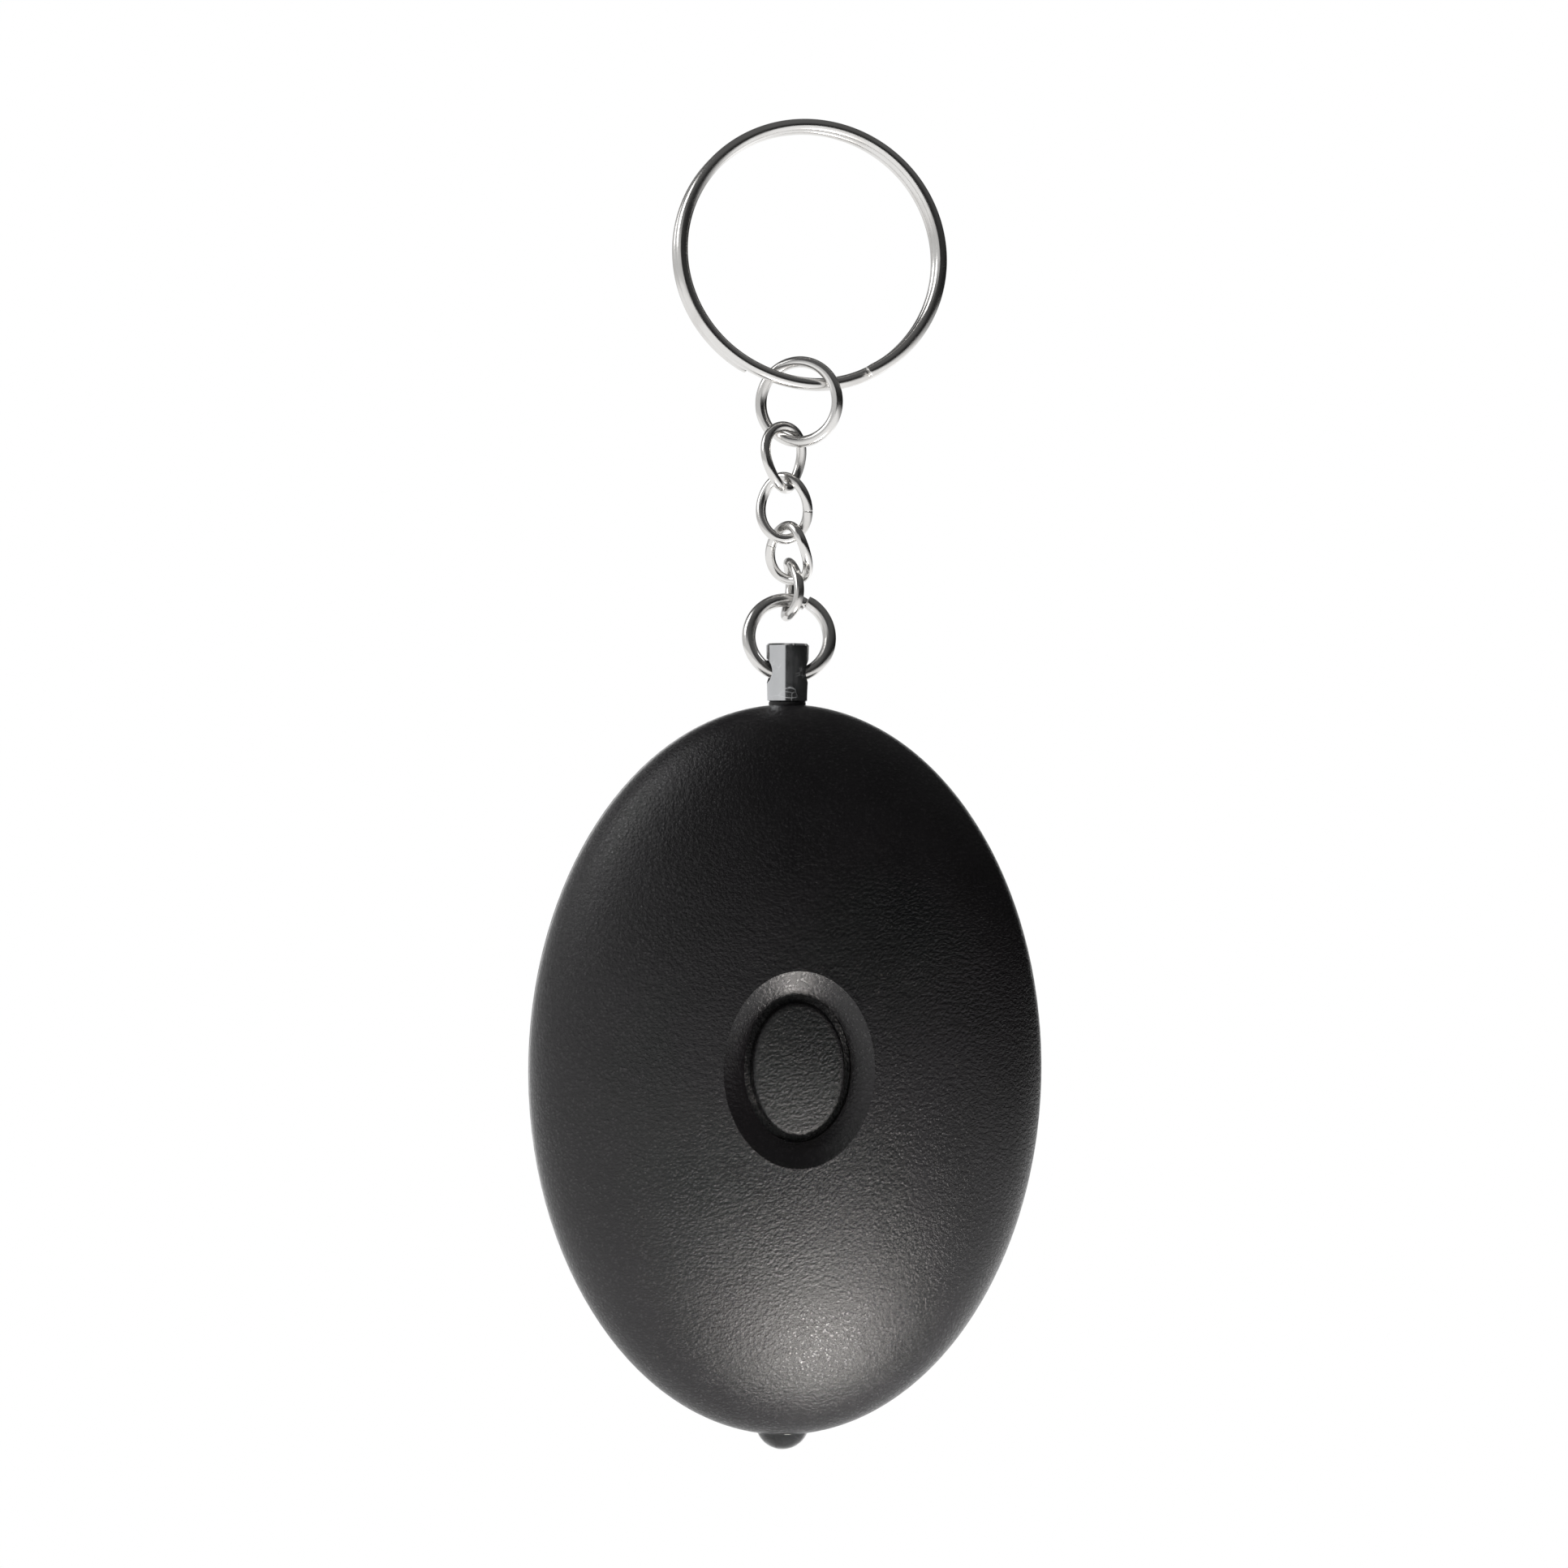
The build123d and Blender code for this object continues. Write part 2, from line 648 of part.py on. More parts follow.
with BuildPart() as circuit_board:
    with BuildSketch(upright(board_rear_y, z=(board_low_z + board_high_z) / 2)):
        RectangleRounded(2 * board_half_width, board_high_z - board_low_z, board_corner)
    extrude(amount=board_thickness)
    bars(upright(board_rear_y), board_screw_radius + screw_gap, board_thickness, board_screw_spots,
         mode=Mode.SUBTRACT)
pieces["circuit_board"] = circuit_board

with BuildPart() as switch_body:
    with BuildSketch(upright(board_front_y, z=recess_z)):
        RectangleRounded(switch_size, switch_size, switch_corner)
    extrude(amount=switch_height)
    bars(upright(stem_bore_y, z=recess_z), stem_radius + running_gap, switch_height, mode=Mode.SUBTRACT)
    for side, row in ((-1, -1), (-1, 1), (1, -1), (1, 1)):
        leg_x = side * (switch_size + switch_leg_reach) / 2
        leg_z = recess_z + row * switch_leg_pitch / 2
        with Locations(at(leg_x, board_front_y - contact_thickness / 2, leg_z)):
            Box(switch_leg_reach, contact_thickness, switch_leg)
pieces["switch_body"] = switch_body

with BuildPart() as switch_stem:
    bars(upright(stem_rear_y, z=recess_z), stem_radius, stem_rear_y - stem_front_y)
    chamfer(switch_stem.edges().group_by(Axis.Y)[0], length=stem_chamfer)
pieces["switch_stem"] = switch_stem

with BuildPart() as step_up_inductor:
    bars(upright(board_rear_y, *inductor_spot), inductor_radius, -inductor_flange)
    bars(upright(board_rear_y, *inductor_spot), inductor_waist, -inductor_height)
    bars(upright(board_rear_y + inductor_height, *inductor_spot), inductor_radius, inductor_flange)
pieces["step_up_inductor"] = step_up_inductor

with BuildPart() as driver_transistor:
    with BuildSketch(upright(board_rear_y + transistor_stand, *transistor_spot)):
        Circle(transistor_radius)
        with Locations((0, -transistor_radius - transistor_flat)):
            Rectangle(2 * transistor_radius, 2 * transistor_radius, mode=Mode.SUBTRACT)
    extrude(amount=-transistor_height)
    with BuildSketch(upright(board_rear_y, *transistor_spot)):
        with GridLocations(transistor_leg_pitch, 1, 3, 1):
            Rectangle(transistor_leg, transistor_leg)
    extrude(amount=-transistor_stand)
pieces["driver_transistor"] = driver_transistor

with BuildPart() as controller_chip:
    with BuildSketch(upright(board_rear_y, *chip_spot)):
        Rectangle(chip_width, chip_height)
    extrude(amount=-chip_depth)
    with BuildSketch(upright(board_rear_y, *chip_spot)):
        with GridLocations(chip_leg_pitch, chip_height + chip_leg_reach, chip_leg_count, 2):
            Rectangle(chip_leg_width, chip_leg_reach)
    extrude(amount=-contact_thickness)
pieces["controller_chip"] = controller_chip

with BuildPart() as chip_resistors:
    with BuildSketch(upright(board_rear_y)):
        with Locations(*resistor_spots):
            Rectangle(resistor_width, resistor_height)
    extrude(amount=-resistor_depth)
pieces["chip_resistors"] = chip_resistors

# Pin socket and contact leaves

with BuildPart() as pin_socket:
    with BuildSketch(level(socket_low_z)):
        RectangleRounded(socket_size, socket_size, socket_edge)
    extrude(amount=socket_high_z - socket_low_z)
    bars(level(socket_step_z), neck_radius + running_gap, socket_high_z - socket_step_z, mode=Mode.SUBTRACT)
    bars(level(socket_low_z), tip_radius + tip_gap, socket_step_z - socket_low_z, mode=Mode.SUBTRACT)
pieces["pin_socket"] = pin_socket

for name, side, low_z in (("front", -1, front_leaf_low_z), ("rear", 1, rear_leaf_low_z)):
    with BuildPart() as contact_leaf:
        inner_y = side * leaf_offset
        outer_y = side * (leaf_offset + contact_thickness)
        block(
            (-leaf_width / 2, min(inner_y, outer_y), low_z),
            (leaf_width / 2, max(inner_y, outer_y), socket_low_z),
        )
        block(
            (-leaf_width / 2, board_rear_y, low_z),
            (leaf_width / 2, max(inner_y, outer_y), low_z + contact_thickness),
        )
    pieces[f"contact_leaf_{name}"] = contact_leaf

# Sounder

with BuildPart() as piezo_plate:
    bars(upright(plate_front_y, z=sounder_z), plate_radius, -plate_thickness)
pieces["piezo_plate"] = piezo_plate

with BuildPart() as piezo_ceramic:
    bars(upright(plate_front_y, z=sounder_z), ceramic_radius, ceramic_thickness)
pieces["piezo_ceramic"] = piezo_ceramic

plate_rear_y = plate_front_y + plate_thickness
with BuildPart() as sounder_ring:
    bars(upright(sounder_ring_front_y, z=sounder_z), sounder_ring_radius,
         sounder_ring_front_y - sounder_ring_rear_y)
    bars(upright(sounder_ring_front_y, z=sounder_z), plate_radius + plate_gap,
         sounder_ring_front_y - plate_rear_y, mode=Mode.SUBTRACT)
    bars(upright(plate_rear_y, z=sounder_z), ledge_radius, plate_rear_y - sounder_ring_rear_y,
         mode=Mode.SUBTRACT)
pieces["sounder_ring"] = sounder_ring

with BuildPart() as piezo_wires:
    for route_points in (ceramic_wire_route, plate_wire_route):
        with BuildLine() as route:
            FilletPolyline(*[at(*point) for point in route_points], radius=piezo_wire_bend)
        with BuildSketch(upright(route_points[0][1], route_points[0][0], route_points[0][2])):
            Circle(piezo_wire / 2)
        sweep(path=route.line)
pieces["piezo_wires"] = piezo_wires

# Batteries and their contacts

for number in range(cell_count):
    cell_x = cell_row_x + number * cell_height
    with BuildPart() as button_cell:
        bars(sideways(cell_x + cell_cap_height, cell_y, cell_z), cell_radius, cell_height - cell_cap_height)
        fillet(button_cell.edges().filter_by(GeomType.CIRCLE), radius=cell_edge)
        bars(sideways(cell_x, cell_y, cell_z), cell_cap_radius, cell_cap_height)
    pieces[f"button_cell_{number + 1}"] = button_cell

for name, tab_x in zip(("spring", "flat"), tab_xs):
    with BuildPart() as battery_contact:
        block(
            (tab_x, contact_low_y, contact_low_z),
            (tab_x + contact_thickness, contact_high_y, contact_high_z),
        )
        block(
            (tab_x, tab_front_y, contact_high_z),
            (tab_x + contact_thickness, tab_rear_y, tab_high_z),
        )
        if name == "spring":
            base_x = tab_x + contact_thickness
            with BuildSketch(level(cell_z - finger_width / 2, y=cell_y)):
                Polygon(
                    (base_x, -finger_spread),
                    (cell_row_x, -finger_fold / 2),
                    (cell_row_x, finger_fold / 2),
                    (base_x, finger_spread),
                    (base_x, finger_spread - finger_fold),
                    (cell_row_x - finger_fold, 0),
                    (base_x, finger_fold - finger_spread),
                    align=None,
                )
            extrude(amount=finger_width)
    pieces[f"battery_{name}_contact"] = battery_contact

# Screws

with BuildPart() as case_screws:
    bars(upright(case_seat_y), case_screw_radius, case_screw_length, case_screw_spots)
    bars(upright(case_seat_y), case_head_radius, -case_head_height, case_screw_spots)
    cross_recess(upright(case_seat_y + case_head_height), case_head_radius, case_screw_spots)
pieces["case_screws"] = case_screws

with BuildPart() as board_screws:
    bars(upright(board_rear_y), board_screw_radius, board_screw_length, board_screw_spots)
    bars(upright(board_rear_y), board_head_radius, -board_head_height, board_screw_spots)
    cross_recess(upright(board_rear_y + board_head_height), board_head_radius, board_screw_spots)
pieces["board_screws"] = board_screws

with BuildPart() as cover_screw:
    bars(upright(cover_head_y, z=cover_screw_z), cover_screw_radius, cover_screw_length)
    bars(upright(cover_head_y, z=cover_screw_z), cover_head_radius, -cover_head_height)
    cross_recess(upright(cover_head_y + cover_head_height, z=cover_screw_z), cover_head_radius)
pieces["cover_screw"] = cover_screw

for label, piece in pieces.items():
    piece.part.label = label
    export_step(piece.part, f"parts/{label}.step")
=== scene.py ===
"""The looks of a personal safety alarm: keyring, chain, pull pin, casing and lamp, in a plain studio."""
import logging
from collections.abc import Callable
from dataclasses import dataclass
from enum import Enum
from functools import cache
from itertools import pairwise
from math import cos, pi, radians, sin, tau

import bmesh
import bpy
from mathutils import Matrix, Vector


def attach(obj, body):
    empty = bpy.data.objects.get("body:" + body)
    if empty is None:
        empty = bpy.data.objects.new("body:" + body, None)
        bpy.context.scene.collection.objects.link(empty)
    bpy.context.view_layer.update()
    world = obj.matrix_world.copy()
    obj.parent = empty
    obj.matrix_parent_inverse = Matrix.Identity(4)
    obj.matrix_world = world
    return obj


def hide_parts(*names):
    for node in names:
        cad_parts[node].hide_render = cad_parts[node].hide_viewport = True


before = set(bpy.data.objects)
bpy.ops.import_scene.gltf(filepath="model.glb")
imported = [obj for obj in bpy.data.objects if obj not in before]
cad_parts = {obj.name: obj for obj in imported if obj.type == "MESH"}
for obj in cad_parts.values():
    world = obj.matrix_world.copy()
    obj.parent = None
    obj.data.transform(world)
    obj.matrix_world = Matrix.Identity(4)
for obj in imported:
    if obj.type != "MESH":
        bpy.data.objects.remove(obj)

log = logging.getLogger("alarm")

MM = 0.001
PIN_X = -1.85
CASING_Z = -74.8
RECESS_Z = 0.58
DISH_HALF_WIDTH = 6.9
DISH_HALF_HEIGHT = 8.85
DISH_REAR_Y = -8.6
DUST_COLOUR = (0.25, 0.24, 0.22)

Curve = Callable[[float], Vector]


class Slot(str, Enum):
    """The record's material slots."""

    METAL = "bright_metal"
    CHROME = "chrome"
    PLASTIC = "black_plastic"
    LENS = "clear_lens"
    BOARD = "board"
    TINNED = "tinned_metal"
    BRASS = "brass_plate"
    CERAMIC = "ceramic"
    WHITE = "white_plastic"
    COPPER = "copper_winding"
    WIRE_COVER = "wire_cover"


# Shader trees


class Tree:
    """A node tree with short calls that add nodes and join them."""

    MIX_COLOUR_INPUTS = (0, 6, 7)
    MIX_COLOUR_OUTPUT = 2

    def __init__(self, nodes: bpy.types.NodeTree) -> None:
        """Start on a tree.

        Args:
            nodes: The tree to fill.
        """
        self.nodes = nodes

    def add(self, kind: str, **values: object) -> bpy.types.Node:
        """Add a node.

        Args:
            kind: The node's type, without the word ShaderNode in front.
            **values: Its settings, and its inputs by name with spaces as underscores.

        Returns:
            The new node.
        """
        node = self.nodes.nodes.new(kind if kind.startswith("NodeGroup") else f"ShaderNode{kind}")
        for name, value in values.items():
            socket = node.inputs.get(name.replace("_", " "))
            if socket is None:
                setattr(node, name, value)
            else:
                self.fill(socket, value)
        return node

    def fill(self, socket: bpy.types.NodeSocket, value: object) -> None:
        """Give an input its value.

        Args:
            socket: The input.
            value: An output to link it to, or a number, a vector or a colour to set.
        """
        if isinstance(value, bpy.types.NodeSocket):
            self.nodes.links.new(value, socket)
        else:
            socket.default_value = value

    def join(self, source: bpy.types.NodeSocket, target: bpy.types.NodeSocket) -> None:
        """Link two sockets."""
        self.nodes.links.new(source, target)

    def maths(self, kind: str, first: object, second: object, clamp: bool = False) -> bpy.types.NodeSocket:
        """Join two values, or a value and a number, by arithmetic.

        Args:
            kind: The Math node's operation.
            first: A socket or a number.
            second: A socket or a number.
            clamp: Whether the result is kept from 0 to 1.

        Returns:
            The result.
        """
        node = self.add("Math", operation=kind, use_clamp=clamp)
        for socket, value in zip(node.inputs, (first, second)):
            self.fill(socket, value)
        return node.outputs[0]

    def vector(self, kind: str, first: object, second: object) -> bpy.types.Node:
        """Join two vectors, or a vector and three numbers, by vector arithmetic.

        Args:
            kind: The Vector Math node's operation.
            first: A socket or three numbers.
            second: A socket or three numbers.

        Returns:
            The node. Its outputs are Vector and Value.
        """
        node = self.add("VectorMath", operation=kind)
        for socket, value in zip(node.inputs, (first, second)):
            self.fill(socket, value)
        return node

    def ramp(self, value: bpy.types.NodeSocket, low: float, high: float, start: float = 0.0,
             end: float = 1.0) -> bpy.types.NodeSocket:
        """Map a value smoothly from one range to another.

        Args:
            value: The value.
            low: Where the change starts.
            high: Where it ends.
            start: The result at low.
            end: The result at high.

        Returns:
            The mapped value.
        """
        node = self.add("MapRange", interpolation_type="SMOOTHSTEP", Value=value, From_Min=low, From_Max=high,
                        To_Min=start, To_Max=end)
        return node.outputs[0]

    def blend(self, share: object, first: object, second: object) -> bpy.types.NodeSocket:
        """Mix two colours.

        Args:
            share: The second colour's share, a socket or a number.
            first: A colour, as a socket or three numbers.
            second: A colour, as a socket or three numbers.

        Returns:
            The mixed colour.
        """
        node = self.add("Mix", data_type="RGBA")
        for number, value in zip(self.MIX_COLOUR_INPUTS, (share, first, second)):
            self.fill(node.inputs[number], (*value, 1.0) if isinstance(value, tuple) else value)
        return node.outputs[self.MIX_COLOUR_OUTPUT]

    def noise(self, vector: bpy.types.NodeSocket, size_mm: object, detail: float = 2.0) -> bpy.types.NodeSocket:
        """Cloudy noise with features of a size.

        Args:
            vector: Where the noise is read.
            size_mm: The size of its features, a number of millimetres or a socket that holds a scale.
            detail: How many finer layers it has.

        Returns:
            The noise, about 0.5 on average.
        """
        scale = size_mm if isinstance(size_mm, bpy.types.NodeSocket) else 1 / (size_mm * MM)
        return self.add("TexNoise", Vector=vector, Scale=scale, Detail=detail).outputs[0]


def new_group(name: str, inputs: dict[str, float | None], outputs: tuple[str, ...]) -> Tree:
    """Make a shader node group.

    Args:
        name: The group's name.
        inputs: Each input's name and first value, or None for a vector.
        outputs: The names of its values.

    Returns:
        The group's tree, with its input and output nodes in it.
    """
    group = bpy.data.node_groups.new(name, "ShaderNodeTree")
    for title, value in inputs.items():
        kind = "NodeSocketVector" if value is None else "NodeSocketFloat"
        socket = group.interface.new_socket(name=title, in_out="INPUT", socket_type=kind)
        if value is not None:
            socket.default_value = value
    for title in outputs:
        group.interface.new_socket(name=title, in_out="OUTPUT", socket_type="NodeSocketFloat")
    return Tree(group)


@cache
def spark_grain() -> bpy.types.ShaderNodeTree:
    """The fine leathery grain that a spark-eroded mould leaves on plastic.

    Returns:
        The group. Its outputs are the height, and the glint of the highest grains.
    """
    tree = new_group("spark_grain", {"Vector": None, "Scale": 3300.0}, ("Height", "Glint"))
    given = tree.add("NodeGroupInput")
    wander = tree.add("TexNoise", Vector=given.outputs[0], Scale=given.outputs[1], Detail=2.0)
    bent = tree.add("VectorMath", operation="SCALE", Scale=0.12 * MM)
    tree.join(wander.outputs["Color"], bent.inputs[0])
    place = tree.vector("ADD", given.outputs[0], bent.outputs[0])
    cells = tree.add("TexVoronoi", feature="SMOOTH_F1", Vector=place.outputs[0], Scale=given.outputs[1],
                     Smoothness=0.5)
    fine = tree.add("TexNoise", Vector=place.outputs[0], Scale=tree.maths("MULTIPLY", given.outputs[1], 2.3),
                    Detail=3.0, Roughness=0.6)
    height = tree.maths("SUBTRACT", tree.maths("MULTIPLY", fine.outputs[0], 0.8), tree.maths(
        "MULTIPLY", cells.outputs["Distance"], 0.5))
    result = tree.add("NodeGroupOutput")
    tree.join(height, result.inputs[0])
    tree.join(tree.ramp(height, 0.22, 0.42), result.inputs[1])
    return tree.nodes


@cache
def handling_marks() -> bpy.types.ShaderNodeTree:
    """Hairline scratches and soft smudges of things carried in a pocket.

    Returns:
        The group. Its outputs are the scratches and the smudges, each 0 to 1.
    """
    tree = new_group("handling_marks", {"Vector": None, "Scratch Scale": 900.0, "Smudge Scale": 220.0},
                     ("Scratches", "Smudges"))
    given = tree.add("NodeGroupInput")
    lines = None
    for turn, stretch in (((0.5, 0.2, 0.9), (1.0, 0.06, 1.0)), ((1.4, 0.8, -0.5), (0.05, 1.0, 1.0))):
        laid = tree.add("Mapping", Vector=given.outputs[0], Rotation=turn, Scale=stretch)
        cells = tree.add("TexVoronoi", feature="DISTANCE_TO_EDGE", Vector=laid.outputs[0], Scale=given.outputs[1])
        line = tree.ramp(cells.outputs["Distance"], 0.0, 0.035, 1.0, 0.0)
        lines = line if lines is None else tree.maths("MAXIMUM", lines, line)
    patches = tree.add("TexNoise", Vector=given.outputs[0], Scale=given.outputs[1], Detail=1.0)
    broken = tree.maths("MULTIPLY", lines, tree.ramp(patches.outputs[0], 0.5, 0.62))
    smudge = tree.add("TexNoise", Vector=given.outputs[0], Scale=given.outputs[2], Detail=4.0, Roughness=0.6)
    result = tree.add("NodeGroupOutput")
    tree.join(broken, result.inputs[0])
    tree.join(tree.ramp(smudge.outputs[0], 0.4, 0.68), result.inputs[1])
    return tree.nodes


@cache
def pocket_dust() -> bpy.types.ShaderNodeTree:
    """Small pale specks and lint.

    Returns:
        The group. Its output is the dust, 0 to 1.
    """
    tree = new_group("pocket_dust", {"Vector": None, "Scale": 700.0, "Cover": 0.5}, ("Dust",))
    given = tree.add("NodeGroupInput")
    specks = tree.add("TexVoronoi", feature="F1", Vector=given.outputs[0], Scale=given.outputs[1])
    drift = tree.add("TexNoise", Vector=given.outputs[0], Scale=90.0, Detail=3.0)
    speck = tree.ramp(specks.outputs["Distance"], 0.03, 0.12, 1.0, 0.0)
    held = tree.maths("MULTIPLY", tree.ramp(drift.outputs[0], 0.45, 0.7), given.outputs[2])
    result = tree.add("NodeGroupOutput")
    tree.join(tree.maths("MULTIPLY", speck, held, clamp=True), result.inputs[0])
    return tree.nodes


def new_material(name: str) -> tuple[bpy.types.Material, Tree, bpy.types.NodeSocket, bpy.types.Node]:
    """Make an empty material on the object's own coordinates.

    Args:
        name: The material's name.

    Returns:
        The material, its tree, the coordinates and its Principled BSDF.
    """
    material = bpy.data.materials.new(name)
    material.use_nodes = True
    tree = Tree(material.node_tree)
    return material, tree, tree.add("TexCoord").outputs["Object"], material.node_tree.nodes["Principled BSDF"]


def placed(tree: Tree, group: bpy.types.ShaderNodeTree, vector: bpy.types.NodeSocket,
           **values: float) -> bpy.types.Node:
    """Put a node group in a material.

    Args:
        tree: The material's tree.
        group: The group.
        vector: The coordinates that it reads.
        **values: Its other inputs by name, with spaces as underscores.

    Returns:
        The group's node.
    """
    node = tree.add("Group", node_tree=group)
    tree.join(vector, node.inputs["Vector"])
    for name, value in values.items():
        node.inputs[name.replace("_", " ")].default_value = value
    return node


# Finishes


@dataclass(frozen=True)
class SparkPlastic:
    """Moulded plastic with a spark-eroded grain."""

    name: str
    colour: tuple[float, float, float]
    pale: tuple[float, float, float]
    roughness: float = 0.2
    grain_mm: float = 0.32
    relief: float = 0.9
    dust: float = 0.35
    sheen: float = 0.6
    # spark: the paler colour painted on the grain tops as painted glints
    spark: tuple[float, float, float] = (0.024, 0.0225, 0.0245)
    dish: bool = False
    cloud_mm: float = 9.0
    gloss_mm: float = 2.5
    gloss_spread: float = 0.08
    smudge_polish: float = 0.04
    glint_polish: float = 0.05
    painted_glint_share: float = 0.6
    dish_matt: float = 0.08
    dish_flat: float = 0.3
    scratch_depth: float = 0.004
    relief_mm: float = 0.08

    @cache
    def material(self) -> bpy.types.Material:
        """Make the plastic: cloudy tone, worn-in gloss, grain in the normal and in the sheen, painted glints on the
        grain tops in the colour, a little dust.

        Returns:
            The material.
        """
        material, tree, spot, shader = new_material(self.name)
        grain = placed(tree, spark_grain(), spot, Scale=1 / (self.grain_mm * MM))
        marks = placed(tree, handling_marks(), spot, Scratch_Scale=260.0, Smudge_Scale=110.0)
        dust = placed(tree, pocket_dust(), spot, Cover=self.dust)
        tone = tree.blend(tree.ramp(tree.noise(spot, self.cloud_mm, 4.0), 0.3, 0.7), self.colour, self.pale)
        # Painted glints: the base colour is paled towards spark on the highest grains
        painted_glint_tone = tree.blend(tree.maths("MULTIPLY", grain.outputs["Glint"], self.painted_glint_share), tone, self.spark)
        dusted = tree.blend(tree.maths("MULTIPLY", dust.outputs[0], 0.5), painted_glint_tone, DUST_COLOUR)
        tree.join(dusted, shader.inputs["Base Color"])
        smooth = self.dish_mask(tree, spot) if self.dish else 0.0
        dished = tree.maths("MULTIPLY", smooth, self.dish_matt)
        base = tree.maths("ADD", self.roughness - self.gloss_spread / 2, dished)
        uneven = tree.maths("MULTIPLY", tree.noise(spot, self.gloss_mm, 3.0), self.gloss_spread)
        rubbed = tree.maths("MULTIPLY", marks.outputs["Smudges"], self.smudge_polish)
        shining = tree.maths("MULTIPLY", grain.outputs["Glint"], self.glint_polish)
        polished = tree.maths("ADD", rubbed, shining)
        handled = tree.maths("SUBTRACT", tree.maths("ADD", base, uneven), polished)
        matt_specks = tree.maths("MULTIPLY", dust.outputs[0], 0.3)
        tree.join(tree.maths("ADD", handled, matt_specks, clamp=True), shader.inputs["Roughness"])
        scratches = tree.maths("MULTIPLY", marks.outputs["Scratches"], self.scratch_depth)
        scratched = tree.maths("SUBTRACT", grain.outputs["Height"], scratches)
        kept = tree.maths("SUBTRACT", 1.0, tree.maths("MULTIPLY", smooth, self.dish_flat))
        worn = tree.maths("MULTIPLY", scratched, kept)
        bump = tree.add("Bump", Strength=self.relief, Distance=self.relief_mm * MM, Height=worn)
        tree.join(bump.outputs[0], shader.inputs["Normal"])
        shader.inputs["IOR"].default_value = 1.5
        tree.join(tree.maths("MULTIPLY", grain.outputs["Glint"], self.sheen), shader.inputs["Coat Weight"])
        shader.inputs["Coat Roughness"].default_value = self.roughness
        return material

    def dish_mask(self, tree: Tree, spot: bpy.types.NodeSocket) -> bpy.types.NodeSocket:
        """Find the dish round the button, which is smoother than the rest of the front.

        Args:
            tree: The material's tree.
            spot: The coordinates.

        Returns:
            The mask, 1 in the dish.
        """
        away = tree.vector("SUBTRACT", spot, (PIN_X * MM, 0.0, (CASING_Z + RECESS_Z) * MM))
        scale = (1 / (DISH_HALF_WIDTH * MM), 0.0, 1 / (DISH_HALF_HEIGHT * MM))
        share = tree.vector("MULTIPLY", away.outputs[0], scale)
        reach = tree.add("VectorMath", operation="LENGTH")
        tree.join(share.outputs[0], reach.inputs[0])
        inside = tree.ramp(reach.outputs["Value"], 0.98, 1.01, 1.0, 0.0)
        depth = tree.add("SeparateXYZ", Vector=spot).outputs["Y"]
        return tree.maths("MULTIPLY", inside, tree.maths("LESS_THAN", depth, DISH_REAR_Y * MM))


@dataclass(frozen=True)
class PlatedMetal:
    """Bright plating or bare metal, with hairline scratches and the odd smudge."""

    name: str
    colour: tuple[float, float, float]
    tarnish: tuple[float, float, float]
    roughness: float = 0.14
    scratch_scale: float = 900.0
    ripple_mm: float = 0.8
    ripple: float = 0.05
    scored: float = 0.012
    scuffed: float = 0.16
    stain: float = 0.55
    smudge_matt: float = 0.07

    @cache
    def material(self) -> bpy.types.Material:
        """Make the metal: tarnish where it is smudged, scratches in the gloss and the normal.

        Returns:
            The material.
        """
        material, tree, spot, shader = new_material(self.name)
        marks = placed(tree, handling_marks(), spot, Scratch_Scale=self.scratch_scale)
        stained = tree.maths("MULTIPLY", marks.outputs["Smudges"], self.stain)
        tree.join(tree.blend(stained, self.colour, self.tarnish), shader.inputs["Base Color"])
        shader.inputs["Metallic"].default_value = 1.0
        scratches = tree.maths("MULTIPLY", marks.outputs["Scratches"], self.scuffed)
        worn = tree.maths("ADD", scratches, tree.maths("MULTIPLY", marks.outputs["Smudges"], self.smudge_matt))
        tree.join(tree.maths("ADD", worn, self.roughness, clamp=True), shader.inputs["Roughness"])
        wavy = tree.maths("MULTIPLY", tree.noise(spot, self.ripple_mm, 1.0), self.ripple)
        height = tree.maths("SUBTRACT", wavy, tree.maths("MULTIPLY", marks.outputs["Scratches"], self.scored))
        bump = tree.add("Bump", Strength=0.6, Distance=0.1 * MM, Height=height)
        tree.join(bump.outputs[0], shader.inputs["Normal"])
        return material


@dataclass(frozen=True)
class ClearResin:
    """Clear cast epoxy."""

    name: str = "clear_epoxy"

    @cache
    def material(self) -> bpy.types.Material:
        """Make the epoxy: clear, with faint casting ripples and smudges in its gloss.

        Returns:
            The material.
        """
        material, tree, spot, shader = new_material(self.name)
        marks = placed(tree, handling_marks(), spot, Scratch_Scale=500.0, Smudge_Scale=420.0)
        shader.inputs["Transmission Weight"].default_value = 1.0
        shader.inputs["IOR"].default_value = 1.52
        tree.join(tree.blend(marks.outputs["Smudges"], (0.97, 0.98, 0.99), (0.93, 0.95, 0.97)),
                  shader.inputs["Base Color"])
        tree.join(tree.maths("ADD", tree.maths("MULTIPLY", marks.outputs["Scratches"], 0.05), 0.015),
                  shader.inputs["Roughness"])
        bump = tree.add("Bump", Strength=0.15, Distance=0.05 * MM, Height=tree.noise(spot, 1.4, 1.0))
        tree.join(bump.outputs[0], shader.inputs["Normal"])
        return material


